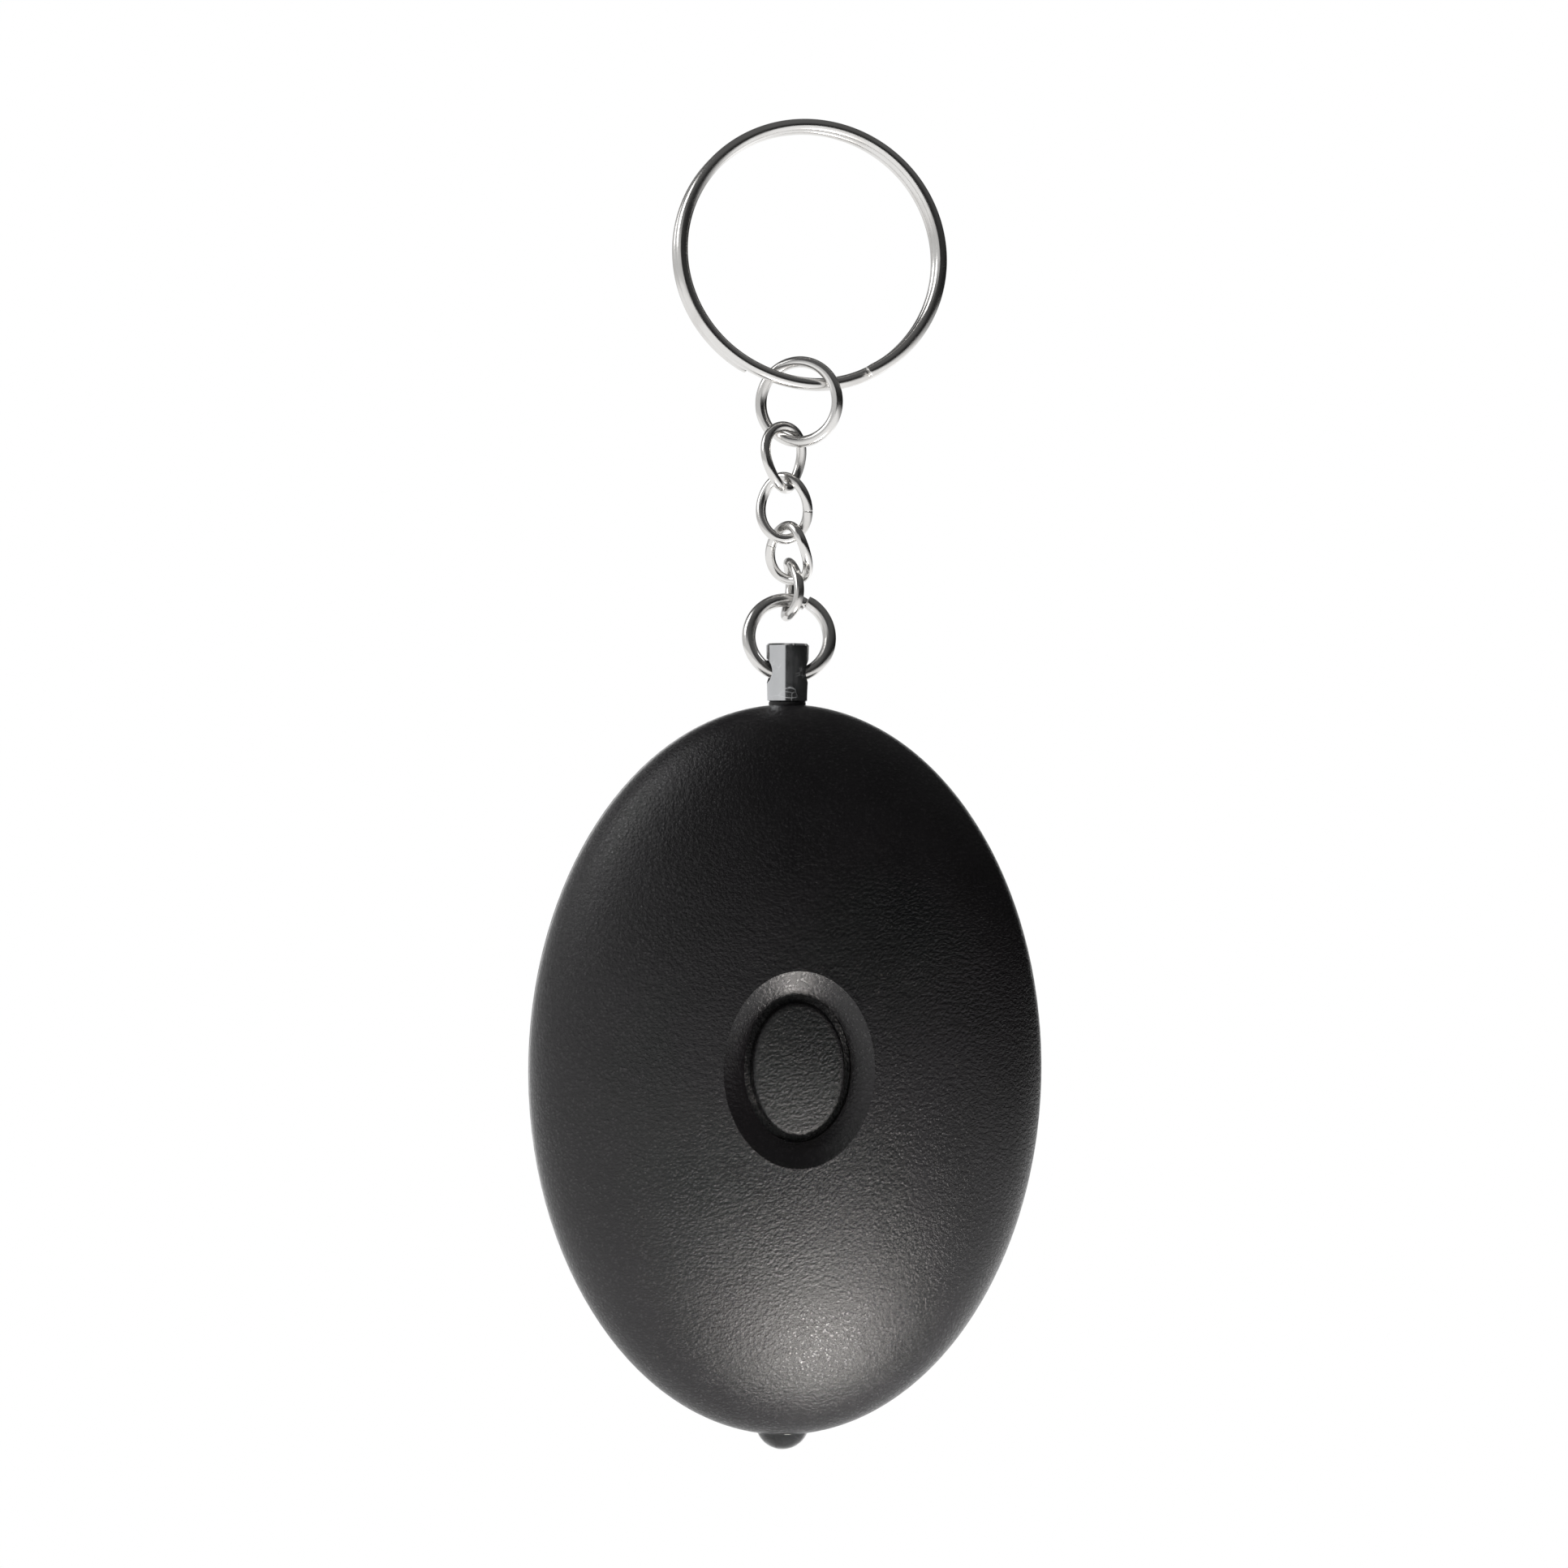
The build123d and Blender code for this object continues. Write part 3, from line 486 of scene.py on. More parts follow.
@dataclass(frozen=True)
class Fired:
    """Fired ceramic, dry and finely pitted, or dull ferrite."""

    name: str
    colour: tuple[float, float, float]
    edge: tuple[float, float, float]
    roughness: float = 0.7

    @cache
    def material(self) -> bpy.types.Material:
        """Make the ceramic: mottled, with fine pits.

        Returns:
            The material.
        """
        material, tree, spot, shader = new_material(self.name)
        mottle = tree.ramp(tree.noise(spot, 0.6, 5.0), 0.35, 0.65)
        tree.join(tree.blend(mottle, self.colour, self.edge), shader.inputs["Base Color"])
        tree.join(tree.maths("ADD", tree.maths("MULTIPLY", mottle, 0.15), self.roughness - 0.07),
                  shader.inputs["Roughness"])
        bump = tree.add("Bump", Strength=0.4, Distance=0.03 * MM, Height=tree.noise(spot, 0.15, 4.0))
        tree.join(bump.outputs[0], shader.inputs["Normal"])
        return material


@dataclass(frozen=True)
class Laminate:
    """Glass-fibre laminate under green solder mask, with copper tracks below it."""

    name: str = "board_laminate"

    @cache
    def material(self) -> bpy.types.Material:
        """Make the board: tracks as raised paler lines and the weave as a fine ripple.

        Returns:
            The material.
        """
        material, tree, spot, shader = new_material(self.name)
        flat = tree.add("Mapping", Vector=spot, Rotation=(pi / 2, 0.0, 0.0))
        tracks = tree.add("TexBrick", Vector=flat.outputs[0], Scale=330.0, Mortar_Size=0.09, Mortar_Smooth=0.4)
        line = tree.ramp(tracks.outputs["Fac"], 0.2, 0.8)
        weave = tree.add("TexWave", Vector=spot, Scale=900.0, bands_direction="DIAGONAL", Distortion=1.0)
        mask = tree.blend(tree.ramp(tree.noise(spot, 5.0), 0.3, 0.7), (0.012, 0.085, 0.035), (0.02, 0.12, 0.05))
        tree.join(tree.blend(line, mask, (0.05, 0.2, 0.08)), shader.inputs["Base Color"])
        tree.join(tree.maths("ADD", tree.maths("MULTIPLY", weave.outputs["Fac"], 0.06), 0.28),
                  shader.inputs["Roughness"])
        relief = tree.maths("ADD", line, tree.maths("MULTIPLY", weave.outputs["Fac"], 0.15))
        bump = tree.add("Bump", Strength=0.5, Distance=0.04 * MM, Height=relief)
        tree.join(bump.outputs[0], shader.inputs["Normal"])
        return material


@dataclass(frozen=True)
class WoundDrum:
    """A ferrite drum with copper wire wound round its waist."""

    name: str = "wound_drum"
    waist_low_y: float = -1.7
    waist_high_y: float = 1.0

    @cache
    def material(self) -> bpy.types.Material:
        """Make the drum: enamelled turns between the two flanges, dark ferrite on them.

        Returns:
            The material.
        """
        material, tree, spot, shader = new_material(self.name)
        depth = tree.add("SeparateXYZ", Vector=spot).outputs["Y"]
        wound = tree.maths("MULTIPLY", tree.maths("GREATER_THAN", depth, self.waist_low_y * MM),
                         tree.maths("LESS_THAN", depth, self.waist_high_y * MM))
        turns = tree.add("TexWave", Vector=spot, Scale=1300.0, bands_direction="Y").outputs["Fac"]
        enamel = tree.blend(turns, (0.16, 0.035, 0.012), (0.62, 0.24, 0.08))
        ferrite = tree.blend(tree.noise(spot, 0.4, 4.0), (0.02, 0.02, 0.022), (0.06, 0.058, 0.055))
        tree.join(tree.blend(wound, ferrite, enamel), shader.inputs["Base Color"])
        tree.join(tree.maths("SUBTRACT", 0.6, tree.maths("MULTIPLY", wound, 0.3)), shader.inputs["Roughness"])
        bump = tree.add("Bump", Strength=0.7, Distance=0.08 * MM, Height=tree.maths("MULTIPLY", turns, wound))
        tree.join(bump.outputs[0], shader.inputs["Normal"])
        return material


@dataclass(frozen=True)
class WireCover:
    """Soft plastic wire covers, one red and one black, told apart by where they run."""

    name: str = "wire_cover"
    parting_x: float = 8.6

    @cache
    def material(self) -> bpy.types.Material:
        """Make the covers: a dry gloss with a slight drawn waviness.

        Returns:
            The material.
        """
        material, tree, spot, shader = new_material(self.name)
        across = tree.add("SeparateXYZ", Vector=spot).outputs["X"]
        outer = tree.maths("GREATER_THAN", across, self.parting_x * MM)
        tree.join(tree.blend(outer, (0.5, 0.02, 0.018), (0.02, 0.02, 0.021)), shader.inputs["Base Color"])
        haze = tree.noise(spot, 0.7, 3.0)
        tree.join(tree.maths("ADD", tree.maths("MULTIPLY", haze, 0.2), 0.35), shader.inputs["Roughness"])
        bump = tree.add("Bump", Strength=0.3, Distance=0.05 * MM, Height=haze)
        tree.join(bump.outputs[0], shader.inputs["Normal"])
        return material


BLACK_CASE = SparkPlastic("case_plastic", (0.005, 0.0044, 0.0052), (0.0095, 0.0086, 0.0097), dish=True)
BLACK_BUTTON = SparkPlastic("button_plastic", (0.005, 0.0045, 0.005), (0.01, 0.0092, 0.0096), 0.2, 0.32, 1.3,
                            sheen=1.0)
BLACK_INNER = SparkPlastic("inner_plastic", (0.012, 0.012, 0.0125), (0.02, 0.02, 0.02), 0.5, 0.4, 0.2, 0.1)
WHITE_INNER = SparkPlastic("white_plastic", (0.72, 0.71, 0.67), (0.8, 0.79, 0.76), 0.4, 0.5, 0.15, 0.1,
                           spark=(0.84, 0.83, 0.8))
CHIP_BLACK = SparkPlastic("chip_moulding", (0.02, 0.02, 0.021), (0.04, 0.04, 0.041), 0.62, 0.12, 0.5, 0.0)
NICKEL = PlatedMetal("nickel_wire", (0.77, 0.76, 0.745), (0.62, 0.6, 0.58), 0.19, ripple=0.003, scored=0.0,
                     scuffed=0.04)
CHROME = PlatedMetal("chrome_turning", (0.82, 0.83, 0.85), (0.68, 0.69, 0.7), 0.06, 700.0, 1.6, 0.02, 0.004)
TINNED = PlatedMetal("tinned_plate", (0.62, 0.63, 0.64), (0.42, 0.42, 0.41), 0.28, 1200.0, 0.3, 0.1)
SCREW_STEEL = PlatedMetal("screw_steel", (0.5, 0.5, 0.51), (0.32, 0.31, 0.3), 0.24, 1500.0, 0.25, 0.08)
CELL_STEEL = PlatedMetal("cell_steel", (0.68, 0.68, 0.66), (0.52, 0.5, 0.46), 0.2, 800.0, 0.9, 0.03)
BRASS = PlatedMetal("brass_sheet", (0.74, 0.53, 0.22), (0.45, 0.29, 0.12), 0.22, 800.0, 0.6, 0.06)
PIEZO = Fired("piezo_silvered", (0.66, 0.65, 0.6), (0.55, 0.53, 0.48), 0.45)
RESISTOR = Fired("resistor_film", (0.03, 0.03, 0.032), (0.07, 0.068, 0.066), 0.5)
RESIN = ClearResin()


# Pieces


def made(name: str, shape: bmesh.types.BMesh, material: bpy.types.Material, body: str, slot: Slot,
         stands_for: tuple[str, ...] = (), sharp: float = 40.0) -> bpy.types.Object:
    """Turn a finished shape into a piece that rides on a body.

    Args:
        name: The piece's name.
        shape: Its shape in metres. It is freed.
        material: Its material.
        body: The body that it moves with.
        slot: The record's material slot; not used.
        stands_for: The CAD nodes that it replaces.
        sharp: Edges that turn more than this many degrees stay sharp.

    Returns:
        The piece.
    """
    bmesh.ops.recalc_face_normals(shape, faces=shape.faces[:])
    for face in shape.faces:
        face.smooth = True
    mesh = bpy.data.meshes.new(name)
    shape.to_mesh(mesh)
    shape.free()
    mesh.set_sharp_from_angle(angle=radians(sharp))
    mesh.materials.append(material)
    piece = bpy.data.objects.new(name, mesh)
    bpy.context.scene.collection.objects.link(piece)
    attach(piece, body)
    if stands_for:
        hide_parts(*stands_for)
    log.info("%s: %d faces, on %s", name, len(mesh.polygons), body)
    return piece


def dress(node: str, material: bpy.types.Material) -> None:
    """Give a CAD node a material.

    Args:
        node: The node's name.
        material: The material.
    """
    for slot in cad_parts[node].material_slots:
        slot.material = material
    log.info("%s dressed in %s", node, material.name)


def at(x: float, y: float, z: float) -> Vector:
    """A point in metres, given in millimetres from the middle of the casing."""
    return Vector((PIN_X + x, y, CASING_Z + z)) * MM


def stance(x: float, y: float, z: float, yaw: float = 0.0, tilt: float = 0.0, roll: float = 0.0) -> Matrix:
    """The frame of a ring or link.

    Args:
        x: Its middle, in millimetres.
        y: Its middle, in millimetres.
        z: Its middle, in millimetres.
        yaw: Its turn about Z, the last of the three, in degrees.
        tilt: Its turn about X.
        roll: Its turn about Y, the first of the three.

    Returns:
        The frame, in metres.
    """
    turns = (Matrix.Rotation(radians(yaw), 4, "Z") @ Matrix.Rotation(radians(tilt), 4, "X")
             @ Matrix.Rotation(radians(roll), 4, "Y"))
    return Matrix.Translation(Vector((x, y, z)) * MM) @ turns


@dataclass
class NippedWire:
    """Round wire bent along a line, each end pinched and cut by nippers."""

    name: str
    diameter: float
    sides: int = 48
    squeeze: float = 0.78
    pinched: float = 0.45
    end_round: float = 0.07

    def build(self, place: Matrix, curve: Curve, first: float, last: float, steps: int) -> bmesh.types.BMesh:
        """Draw the wire.

        Args:
            place: The frame that the line is given in.
            curve: The line: a point in millimetres for each angle.
            first: The angle where the wire starts.
            last: The angle where it ends.
            steps: How many rings of vertices follow the first one.

        Returns:
            The closed shape.
        """
        spots = [place @ (curve(first + (last - first) * k / steps) * MM) for k in range(steps + 1)]
        ways = [(spots[min(k + 1, steps)] - spots[max(k - 1, 0)]).normalized() for k in range(steps + 1)]
        shape = bmesh.new()
        upright = Vector((0, 0, 1)).rotation_difference(ways[0]).to_matrix().to_4x4()
        bmesh.ops.create_circle(shape, cap_ends=False, radius=self.diameter / 2 * MM, segments=self.sides,
                                matrix=Matrix.Translation(spots[0]) @ upright)
        rings, edges = [shape.verts[:]], shape.edges[:]
        for (here, way), (there, next_way) in pairwise(zip(spots, ways)):
            grown = bmesh.ops.extrude_edge_only(shape, edges=edges)["geom"]
            ring = [part for part in grown if isinstance(part, bmesh.types.BMVert)]
            fresh = set(ring)
            grown_edges = [part for part in grown if isinstance(part, bmesh.types.BMEdge)]
            edges = [edge for edge in grown_edges if fresh.issuperset(edge.verts)]
            turn = way.rotation_difference(next_way).to_matrix().to_4x4()
            step = Matrix.Translation(there) @ turn @ Matrix.Translation(-here)
            bmesh.ops.transform(shape, matrix=step, verts=ring)
            rings.append(ring)
        self.pinch(shape, rings, spots, ways, place.to_3x3() @ Vector((0, 1, 0)))
        ends = bmesh.ops.holes_fill(shape, edges=[e for e in shape.edges if e.is_boundary], sides=0)["faces"]
        bmesh.ops.bevel(shape, geom=list({edge for face in ends for edge in face.edges}),
                        offset=self.end_round * MM, segments=2, profile=0.5, affect="EDGES", material=-1)
        return shape

    def pinch(self, shape: bmesh.types.BMesh, rings: list[list[bmesh.types.BMVert]], spots: list[Vector],
              ways: list[Vector], flat: Vector) -> None:
        """Squeeze the wire towards both of its cut ends.

        Args:
            shape: The wire.
            rings: Its rings of vertices, from end to end.
            spots: The middle of each ring.
            ways: The wire's way at each ring.
            flat: The direction that the nippers leave at full width.
        """
        for end, order in ((0, range(len(spots))), (-1, reversed(range(len(spots))))):
            for k in order:
                away = (spots[k] - spots[end]).length / (self.pinched * MM)
                if away >= 1.0:
                    break
                share = self.squeeze + (1.0 - self.squeeze) * away
                side = ways[k].cross(flat).normalized()
                squash = (Matrix.Translation(spots[k]) @ Matrix.Scale(share, 4, side)
                          @ Matrix.Translation(-spots[k]))
                bmesh.ops.transform(shape, matrix=squash, verts=rings[k])


@dataclass
class Keyring:
    """A split ring: wire wound twice, its two layers side by side."""

    half_width: float = 12.25
    half_height: float = 12.0
    wire: float = 1.2
    layer_gap: float = 0.03
    yaw: float = 6.5
    tilt: float = -5.0
    front_end: float = 25.0
    rear_end: float = -28.7
    steps: int = 840

    def line(self, angle: float) -> Vector:
        """The wire's middle, its angle counted from straight down towards +X.

        Args:
            angle: The angle in radians, over two turns.

        Returns:
            The point in millimetres.
        """
        step = radians(self.front_end - self.rear_end)
        share = min(max((angle - radians(360 + self.rear_end)) / step, 0.0), 1.0)
        eased = share * share * (3 - 2 * share)
        side = (eased - 0.5) * (self.wire + self.layer_gap)
        return Vector((self.half_width * sin(angle), side, -self.half_height * cos(angle)))

    def build(self) -> None:
        """Make the ring."""
        wire = NippedWire("keyring_wire", self.wire, 56, squeeze=0.9, pinched=0.6, end_round=0.1)
        shape = wire.build(stance(0, 0, 0, self.yaw, self.tilt), self.line, radians(self.front_end),
                           radians(720 + self.rear_end), self.steps)
        made(wire.name, shape, NICKEL.material(), "keyring", Slot.METAL, ("keyring",))


@dataclass
class JumpRing:
    """A flat ring of wire whose ends meet, a little offset."""

    name: str
    body: str
    node: str
    place: Matrix
    radius: float
    wire: float
    split: float
    end_offset: float = 0.22
    gap: float = 0.1
    steps: int = 144

    def line(self, angle: float) -> Vector:
        """The wire's middle at an angle above +X, in millimetres."""
        first = radians(self.split) + self.gap / self.radius / 2
        reach = self.radius + self.end_offset / tau * (angle - first - pi)
        return Vector((reach * cos(angle), 0, reach * sin(angle)))

    def build(self) -> None:
        """Make the ring."""
        first = radians(self.split) + self.gap / self.radius / 2
        wire = NippedWire(self.name, self.wire, squeeze=0.92, end_round=0.04)
        shape = wire.build(self.place, self.line, first, first + tau - self.gap / self.radius, self.steps)
        made(self.name, shape, NICKEL.material(), self.body, Slot.METAL, (self.node,))


@dataclass
class CurbLink:
    """A twisted oval link, its butt joint on one leg."""

    number: int
    place: Matrix
    split: float
    half_width: float = 2.24
    half_height: float = 2.87
    wire: float = 0.92
    twist_per_mm: float = -6.0
    gap: float = 0.02
    steps: int = 144

    def line(self, angle: float) -> Vector:
        """The wire's middle at an angle above +X, in millimetres."""
        x, z = self.half_width * cos(angle), self.half_height * sin(angle)
        twist = radians(self.twist_per_mm) * z
        return Vector((x * cos(twist), x * sin(twist), z))

    def build(self) -> None:
        """Make the link."""
        first = radians(self.split) + self.gap / self.half_height / 2
        wire = NippedWire(f"curb_link_{self.number}", self.wire, squeeze=1.0, end_round=0.03)
        shape = wire.build(self.place, self.line, first, first + tau - self.gap / self.half_height, self.steps)
        made(wire.name, shape, NICKEL.material(), f"link_{self.number}", Slot.METAL,
             (f"chain_link_{self.number}",))


@dataclass
class Chain:
    """Two jump rings with four curb links between them."""

    upper_place: tuple[float, ...] = (-0.94, -0.35, -13.59, -26.7, 0.8, 0.0)
    upper_radius: float = 3.7
    upper_wire: float = 1.05
    upper_split: float = -134.0
    link_places: tuple[tuple[float, ...], ...] = (
        (-2.30, 0.05, -18.64, 38.0, -0.7, -3.9),
        (-2.24, 0.25, -23.27, -23.2, 0.0, -4.4),
        (-1.58, 0.83, -27.48, -52.7, 22.6, 34.3),
        (-1.40, 1.32, -30.73, -87.3, -4.1, -46.8),
    )
    link_splits: tuple[float, ...] = (33.0, -9.0, 186.0, 20.0)
    pin_ring_x: float = -1.68
    pin_ring_tilt: float = -15.0
    pin_ring_low_z: float = -38.72
    pin_ring_radius: float = 3.72
    pin_ring_wire: float = 1.24
    pin_ring_split: float = 62.0

    def build(self) -> None:
        """Make the rings and links, from the top."""
        JumpRing("upper_jump_ring", "upper_ring", "upper_ring", stance(*self.upper_place), self.upper_radius,
                 self.upper_wire, self.upper_split).build()
        for number, (place, split) in enumerate(zip(self.link_places, self.link_splits), start=1):
            CurbLink(number, stance(*place), split).build()
        drop = radians(self.pin_ring_tilt)
        place = stance(self.pin_ring_x, -self.pin_ring_radius * sin(drop),
                       self.pin_ring_low_z + self.pin_ring_radius * cos(drop), tilt=self.pin_ring_tilt)
        JumpRing("pin_jump_ring", "pin_ring", "pin_ring", place, self.pin_ring_radius, self.pin_ring_wire,
                 self.pin_ring_split, end_offset=0.3, gap=0.015).build()


@dataclass
class PullPin:
    """The chromed head and its plastic shaft."""

    def build(self) -> None:
        """Dress the head and the shaft."""
        dress("pin_head", CHROME.material())
        dress("pin_shaft", BLACK_INNER.material())


@dataclass
class Casing:
    """The two shells, the battery cover, the button and the screws."""

    shells: tuple[str, ...] = ("front_shell", "rear_shell", "battery_cover")
    screws: tuple[str, ...] = ("case_screws", "board_screws", "cover_screw")

    def build(self) -> None:
        """Dress the shells, the button and the screws."""
        for node in self.shells:
            dress(node, BLACK_CASE.material())
        dress("light_button", BLACK_BUTTON.material())
        for node in self.screws:
            dress(node, SCREW_STEEL.material())


@dataclass
class Lamp:
    """A clear 5 mm lamp: its epoxy dome, and inside it the cup that holds the die."""

    radius: float = 2.5
    tip_z: float = -35.0
    base_z: float = -26.4
    flange_radius: float = 2.88
    flange_height: float = 1.0
    cup_x: float = -0.25
    cup_floor_z: float = -30.95
    cup_depth: float = 0.5
    cup_mouth: float = 0.72
    cup_floor: float = 0.34
    cup_wall: float = 0.1
    cup_floor_wall: float = 0.3
    # The black sleeve round the dome is painted shade: it darkens what shows through the clear dome.
    shade_sleeve_low_z: float = -33.3
    shade_sleeve_high_z: float = -31.0
    shade_sleeve_gap: float = 0.01
    shade_sleeve_wall: float = 0.08
    edge: float = 0.1
    turns: int = 72
    dome_steps: int = 20

    def spun(self, outline: list[tuple[float, float]], x: float = 0.0, looped: bool = False) -> bmesh.types.BMesh:
        """Turn an outline about an upright axis.

        Args:
            outline: Radius and height of each corner, in millimetres from the casing's middle.
            x: Where the axis stands.
            looped: Whether the outline closes on itself, rather than running from axis to axis.

        Returns:
            The closed shape.
        """
        shape = bmesh.new()
        corners = [shape.verts.new(at(x + reach, 0, z)) for reach, z in outline]
        for pair in pairwise(corners + corners[:1] if looped else corners):
            shape.edges.new(pair)
        bmesh.ops.spin(shape, geom=shape.verts[:] + shape.edges[:], cent=at(x, 0, 0), axis=(0, 0, 1),
                       dvec=(0, 0, 0), angle=tau, steps=self.turns, use_merge=True, use_duplicate=False)
        bmesh.ops.remove_doubles(shape, verts=shape.verts[:], dist=1e-6)
        return shape

    def build(self) -> None:
        """Make the dome, the cup and the black sleeve of painted shade round the dome, and dress the leads."""
        arc = [(self.radius * sin(k * pi / 2 / self.dome_steps),
                self.tip_z + self.radius * (1 - cos(k * pi / 2 / self.dome_steps)))
               for k in range(self.dome_steps + 1)]
        rim = self.base_z - self.flange_height
        outer, edge = self.flange_radius, self.edge
        outline = arc + [(self.radius, rim - edge), (self.radius + edge, rim), (outer - edge, rim),
                         (outer, rim + edge), (outer, self.base_z - edge), (outer - edge, self.base_z),
                         (0.0, self.base_z)]
        made("lamp_dome", self.spun(outline), RESIN.material(), "casing", Slot.LENS, ("lamp_lens",))
        floor, lip = self.cup_floor_z, self.cup_floor_z - self.cup_depth
        back, outside = floor + self.cup_floor_wall, self.cup_mouth + self.cup_wall
        cup = [(0.0, floor), (self.cup_floor, floor), (self.cup_mouth, lip), (outside, lip), (outside, back),
               (0.0, back)]
        made("lamp_cup", self.spun(cup, self.cup_x), TINNED.material(), "casing", Slot.TINNED)
        # Painted shade: a black sleeve in the bore round the dome, which darkens the clear lamp.
        bore = self.radius + self.shade_sleeve_gap
        shade_sleeve = [(bore, self.shade_sleeve_low_z), (bore + self.shade_sleeve_wall, self.shade_sleeve_low_z),
                (bore + self.shade_sleeve_wall, self.shade_sleeve_high_z), (bore, self.shade_sleeve_high_z)]
        made("lamp_shade_sleeve", self.spun(shade_sleeve, looped=True), BLACK_INNER.material(), "casing", Slot.PLASTIC)
        dress("lamp_leads", TINNED.material())


@dataclass
class Works:
    """What the casing holds: the board and its parts, the contacts, the cells and the sounder."""

    def build(self) -> None:
        """Dress every piece inside the casing."""
        finishes: dict[str, bpy.types.Material] = {
            "circuit_board": Laminate().material(),
            "switch_body": TINNED.material(),
            "switch_stem": BLACK_INNER.material(),
            "step_up_inductor": WoundDrum().material(),
            "driver_transistor": CHIP_BLACK.material(),
            "controller_chip": CHIP_BLACK.material(),
            "chip_resistors": RESISTOR.material(),
            "pin_socket": WHITE_INNER.material(),
            "contact_leaf_front": BRASS.material(),
            "contact_leaf_rear": BRASS.material(),
            "piezo_plate": BRASS.material(),
            "piezo_ceramic": PIEZO.material(),
            "sounder_ring": WHITE_INNER.material(),
            "piezo_wires": WireCover().material(),
            "button_cell_1": CELL_STEEL.material(),
            "button_cell_2": CELL_STEEL.material(),
            "button_cell_3": CELL_STEEL.material(),
            "battery_spring_contact": TINNED.material(),
            "battery_flat_contact": TINNED.material(),
        }
        for node, material in finishes.items():
            dress(node, material)


# Studio


@dataclass(frozen=True)
class Softbox:
    """A square lamp that faces a point, which the camera doesn't see.

    The aim is the point and way the direction from it to the lamp. Radiance is how bright the lamp's face is, where
    1 is white paper in full light, and glossy says whether it shows in reflections.
    """

    name: str
    aim: tuple[float, float, float]
    way: tuple[float, float, float]
    distance: float
    size: float
    radiance: float
    colour: tuple[float, float, float] = (1.0, 1.0, 1.0)
    glossy: bool = True

    def build(self) -> None:
        """Stand the softbox."""
        lamp = bpy.data.lights.new(self.name, "AREA")
        lamp.shape = "SQUARE"
        lamp.size = self.size
        lamp.energy = self.radiance * pi * self.size * self.size
        lamp.color = self.colour
        stand = bpy.data.objects.new(self.name, lamp)
        bpy.context.scene.collection.objects.link(stand)
        way = Vector(self.way).normalized()
        stand.location = Vector(self.aim) + way * self.distance
        stand.rotation_euler = way.to_track_quat("Z", "Y").to_euler()
        stand.visible_camera = False
        stand.visible_glossy = self.glossy


ALARM_MIDDLE = (-0.002, 0.0, -0.07)
FLOOR_Z = -0.34
SOFTBOXES = (
    Softbox("low_softbox", (0.002, -0.008, -0.1), (0.21, -0.70, -0.68), 0.08, 0.034, 26.0, (1.0, 0.95, 0.91)),
    Softbox("right_fill", ALARM_MIDDLE, (0.75, -0.45, -0.5), 0.5, 0.4, 0.25, glossy=False),
    Softbox("upper_left_softbox", (-0.017, -0.005, -0.051), (-0.75, -0.05, 0.66), 0.25, 0.13, 3.0),
    Softbox("rim_softbox", ALARM_MIDDLE, (0.6, 0.7, -0.35), 0.5, 0.25, 0.35),
    Softbox("left_softbox", ALARM_MIDDLE, (-0.93, 0.1, -0.1), 0.6, 0.5, 0.9, glossy=False),
    Softbox("overhead", (0.0, 0.0, FLOOR_Z), (-0.15, 0.1, 1.0), 1.3, 0.9, 2.2, glossy=False),
)


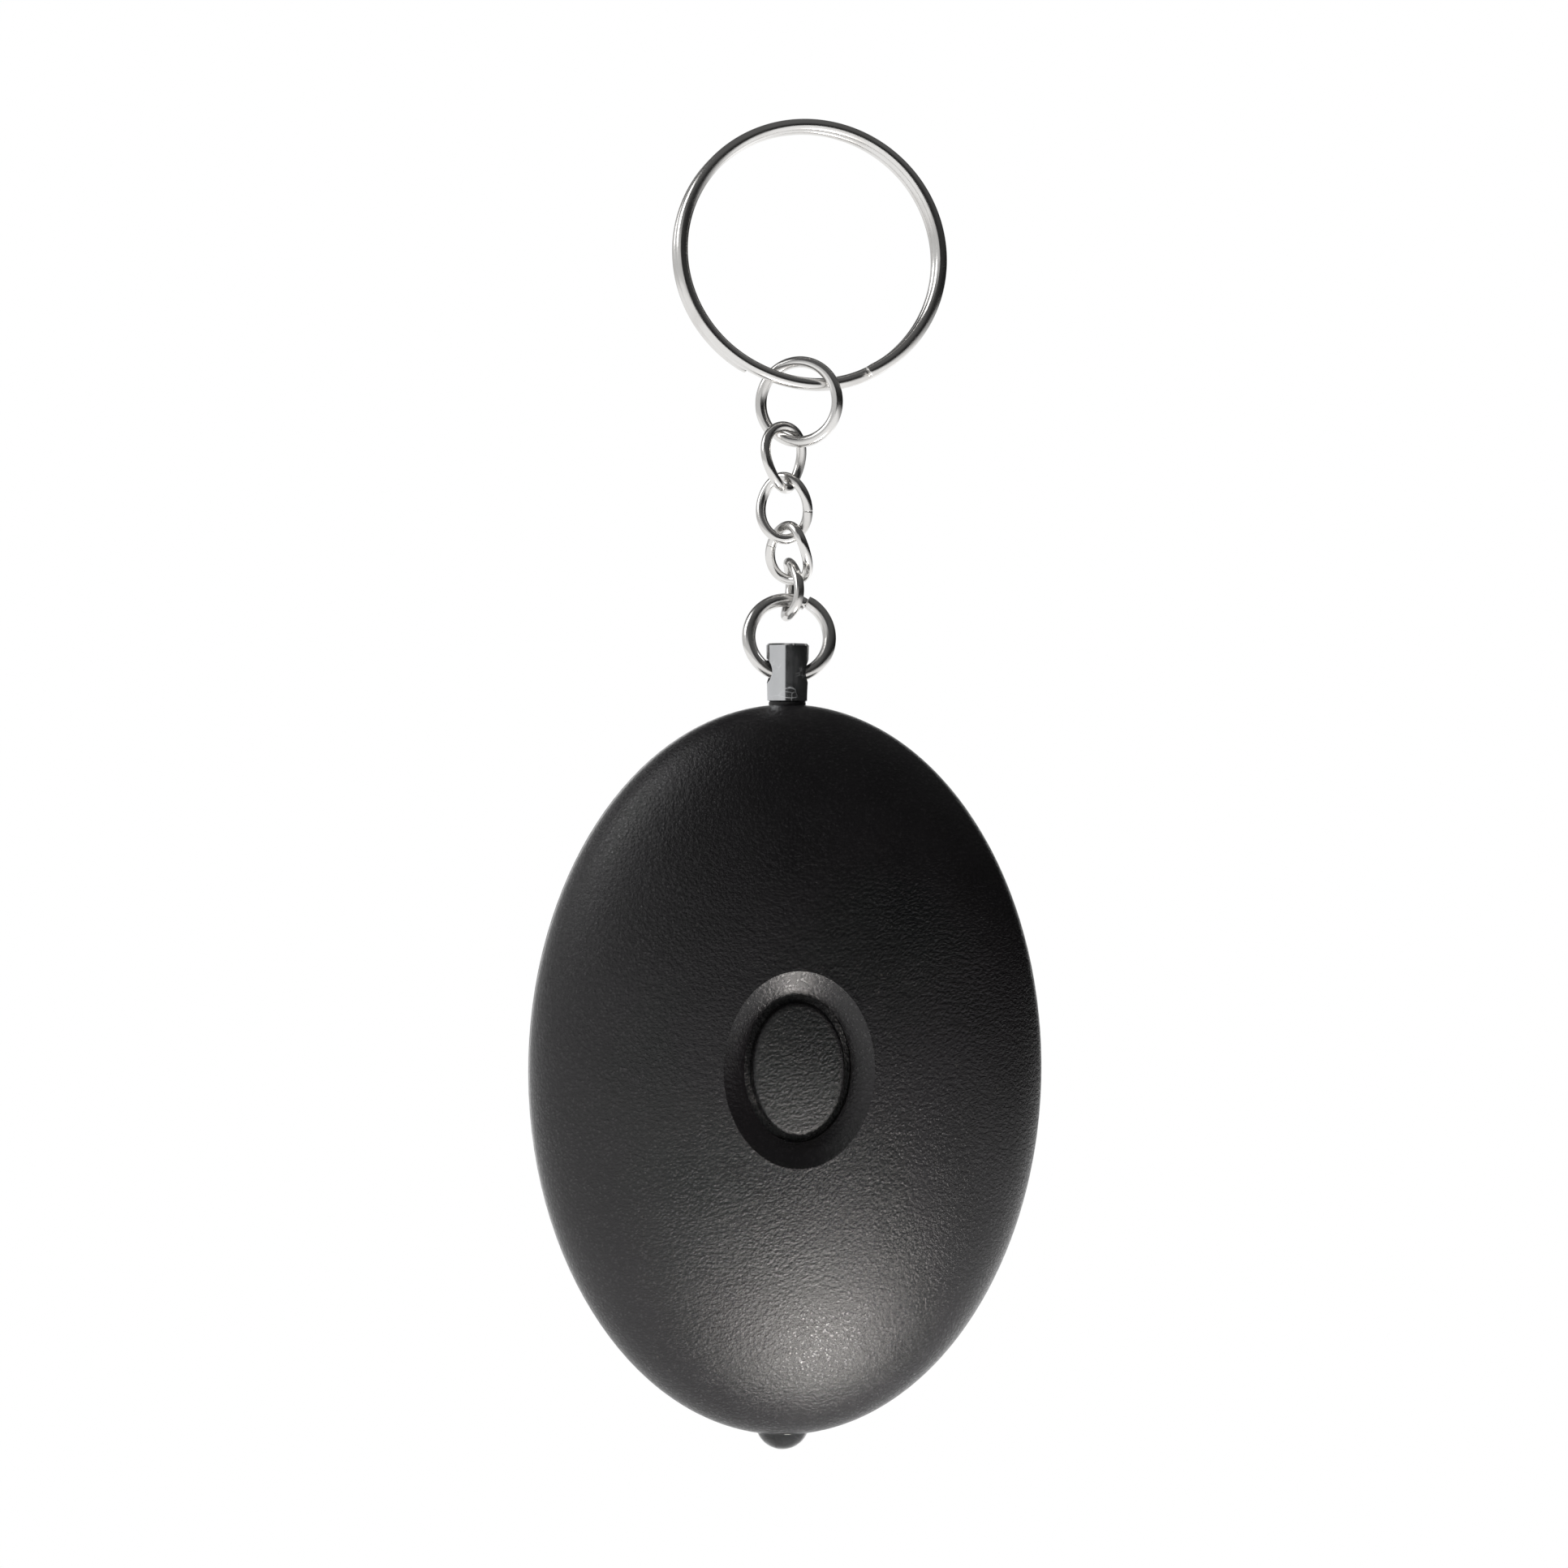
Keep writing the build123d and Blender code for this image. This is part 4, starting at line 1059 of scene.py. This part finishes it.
@dataclass
class Studio:
    """A pale floor, soft lamps, a light wall on the left, and the camera."""

    floor_half: float = 3.0
    shadow_span: tuple[float, float] = (0.08, 0.26)
    shadow_white: float = 0.75
    dim_span: tuple[float, float] = (0.45, 1.2)
    dim_white: float = 0.25
    camera_aim: tuple[float, float, float] = (-0.0021, 0.0, -0.048657)
    camera_distance: float = 0.43
    camera_azimuth: float = -6.8
    camera_roll: float = 0.384
    lens: float = 107.37
    wall_way: tuple[float, float, float] = (-0.949, 0.316, 0.0)
    wall_light: float = 0.62
    room_light: tuple[float, float] = (0.014, 0.11)
    back_way: tuple[float, float, float] = (0.129, 0.992, 0.0)

    def build(self) -> None:
        """Set up the floor, the world, the lamps and the camera."""
        bpy.context.scene.view_settings.view_transform = "Standard"
        self.floor()
        self.surroundings()
        for softbox in SOFTBOXES:
            softbox.build()
        self.camera()

    def seen(self, tree: Tree, spot: bpy.types.NodeSocket) -> bpy.types.NodeSocket:
        """How white the floor is to a ray: fully to the camera and glass, less in reflections far to the right.

        Args:
            tree: The floor's tree.
            spot: The place on the floor.

        Returns:
            The whiteness, 0 to 1.
        """
        path = tree.add("LightPath").outputs
        across = tree.add("SeparateXYZ", Vector=spot).outputs["X"]
        dimmed = tree.ramp(across, *self.dim_span, 1.0, self.dim_white)
        mirrored = tree.maths("MULTIPLY", path["Is Glossy Ray"], dimmed)
        direct = tree.maths("MAXIMUM", path["Is Camera Ray"], path["Is Transmission Ray"])
        return tree.maths("MAXIMUM", direct, mirrored)

    def floor(self) -> None:
        """Make the floor: pale, with the alarm's shadow near its middle, and plain white further out."""
        shape = bmesh.new()
        bmesh.ops.create_grid(shape, x_segments=8, y_segments=8, size=self.floor_half,
                              matrix=Matrix.Translation((0, 0, FLOOR_Z)))
        mesh = bpy.data.meshes.new("floor")
        shape.to_mesh(mesh)
        shape.free()
        floor = bpy.data.objects.new("floor", mesh)
        bpy.context.scene.collection.objects.link(floor)
        material, tree, spot, shader = new_material("floor_paper")
        tone = tree.blend(tree.noise(spot, 40.0, 3.0), (0.82, 0.82, 0.815), (0.86, 0.86, 0.855))
        tree.join(tone, shader.inputs["Base Color"])
        shader.inputs["Roughness"].default_value = 0.9
        level = tree.vector("MULTIPLY", spot, (1.0, 1.0, 0.0))
        reach = tree.add("VectorMath", operation="LENGTH")
        tree.join(level.outputs[0], reach.inputs[0])
        share = tree.ramp(reach.outputs["Value"], *self.shadow_span, self.shadow_white, 1.0)
        white = tree.add("Emission", Color=(1, 1, 1, 1), Strength=1.0)
        mix = tree.add("MixShader")
        tree.join(tree.maths("MULTIPLY", self.seen(tree, spot), share), mix.inputs[0])
        tree.join(shader.outputs[0], mix.inputs[1])
        tree.join(white.outputs[0], mix.inputs[2])
        tree.join(mix.outputs[0], tree.nodes.nodes["Material Output"].inputs["Surface"])
        mesh.materials.append(material)

    def surroundings(self) -> None:
        """Make the world: white behind the alarm, a light wall on its left, a dim room elsewhere."""
        world = bpy.data.worlds.new("studio")
        bpy.context.scene.world = world
        world.use_nodes = True
        tree = Tree(world.node_tree)
        way = tree.add("TexCoord").outputs["Generated"]
        up = tree.add("SeparateXYZ", Vector=way).outputs["Z"]
        leftward = tree.vector("DOT_PRODUCT", way, self.wall_way).outputs["Value"]
        backward = tree.vector("DOT_PRODUCT", way, self.back_way).outputs["Value"]
        wall = tree.maths("MULTIPLY", tree.ramp(leftward, -0.02, 0.03), tree.ramp(up, 0.25, 0.6, 1.0, 0.0))
        back = tree.ramp(backward, 0.9, 0.98)
        room = tree.ramp(up, 0.1, 0.8, *self.room_light)
        wall_share = tree.maths("MULTIPLY", wall, self.wall_light)
        light = tree.maths("MAXIMUM", wall_share, tree.maths("MAXIMUM", back, room))
        path = tree.add("LightPath").outputs
        shown = tree.maths("MAXIMUM", light, path["Is Camera Ray"])
        background = world.node_tree.nodes["Background"]
        tree.join(shown, background.inputs["Strength"])
        background.inputs["Color"].default_value = (1, 1, 1, 1)

    def camera(self) -> None:
        """Stand the camera level, a little to the alarm's left."""
        turn = radians(self.camera_azimuth)
        back = Vector((sin(turn), -cos(turn), 0.0))
        data = bpy.data.cameras.new("camera")
        data.sensor_fit = "HORIZONTAL"
        data.sensor_width = 36.0
        data.lens = self.lens
        data.dof.use_dof = False
        camera = bpy.data.objects.new("camera", data)
        bpy.context.scene.collection.objects.link(camera)
        camera.location = Vector(self.camera_aim) + back * self.camera_distance
        turned = back.to_track_quat("Z", "Y").to_matrix() @ Matrix.Rotation(radians(self.camera_roll), 3, "Z")
        camera.rotation_euler = turned.to_euler()
        bpy.context.scene.camera = camera


def main() -> None:
    """Build the studio and the alarm."""
    logging.basicConfig(level=logging.INFO, format="%(name)s: %(message)s")
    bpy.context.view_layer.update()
    for part in (Studio(), Keyring(), Chain(), PullPin(), Casing(), Lamp(), Works()):
        part.build()
        log.info("%s done", type(part).__name__)


if __name__ == "__main__":
    main()
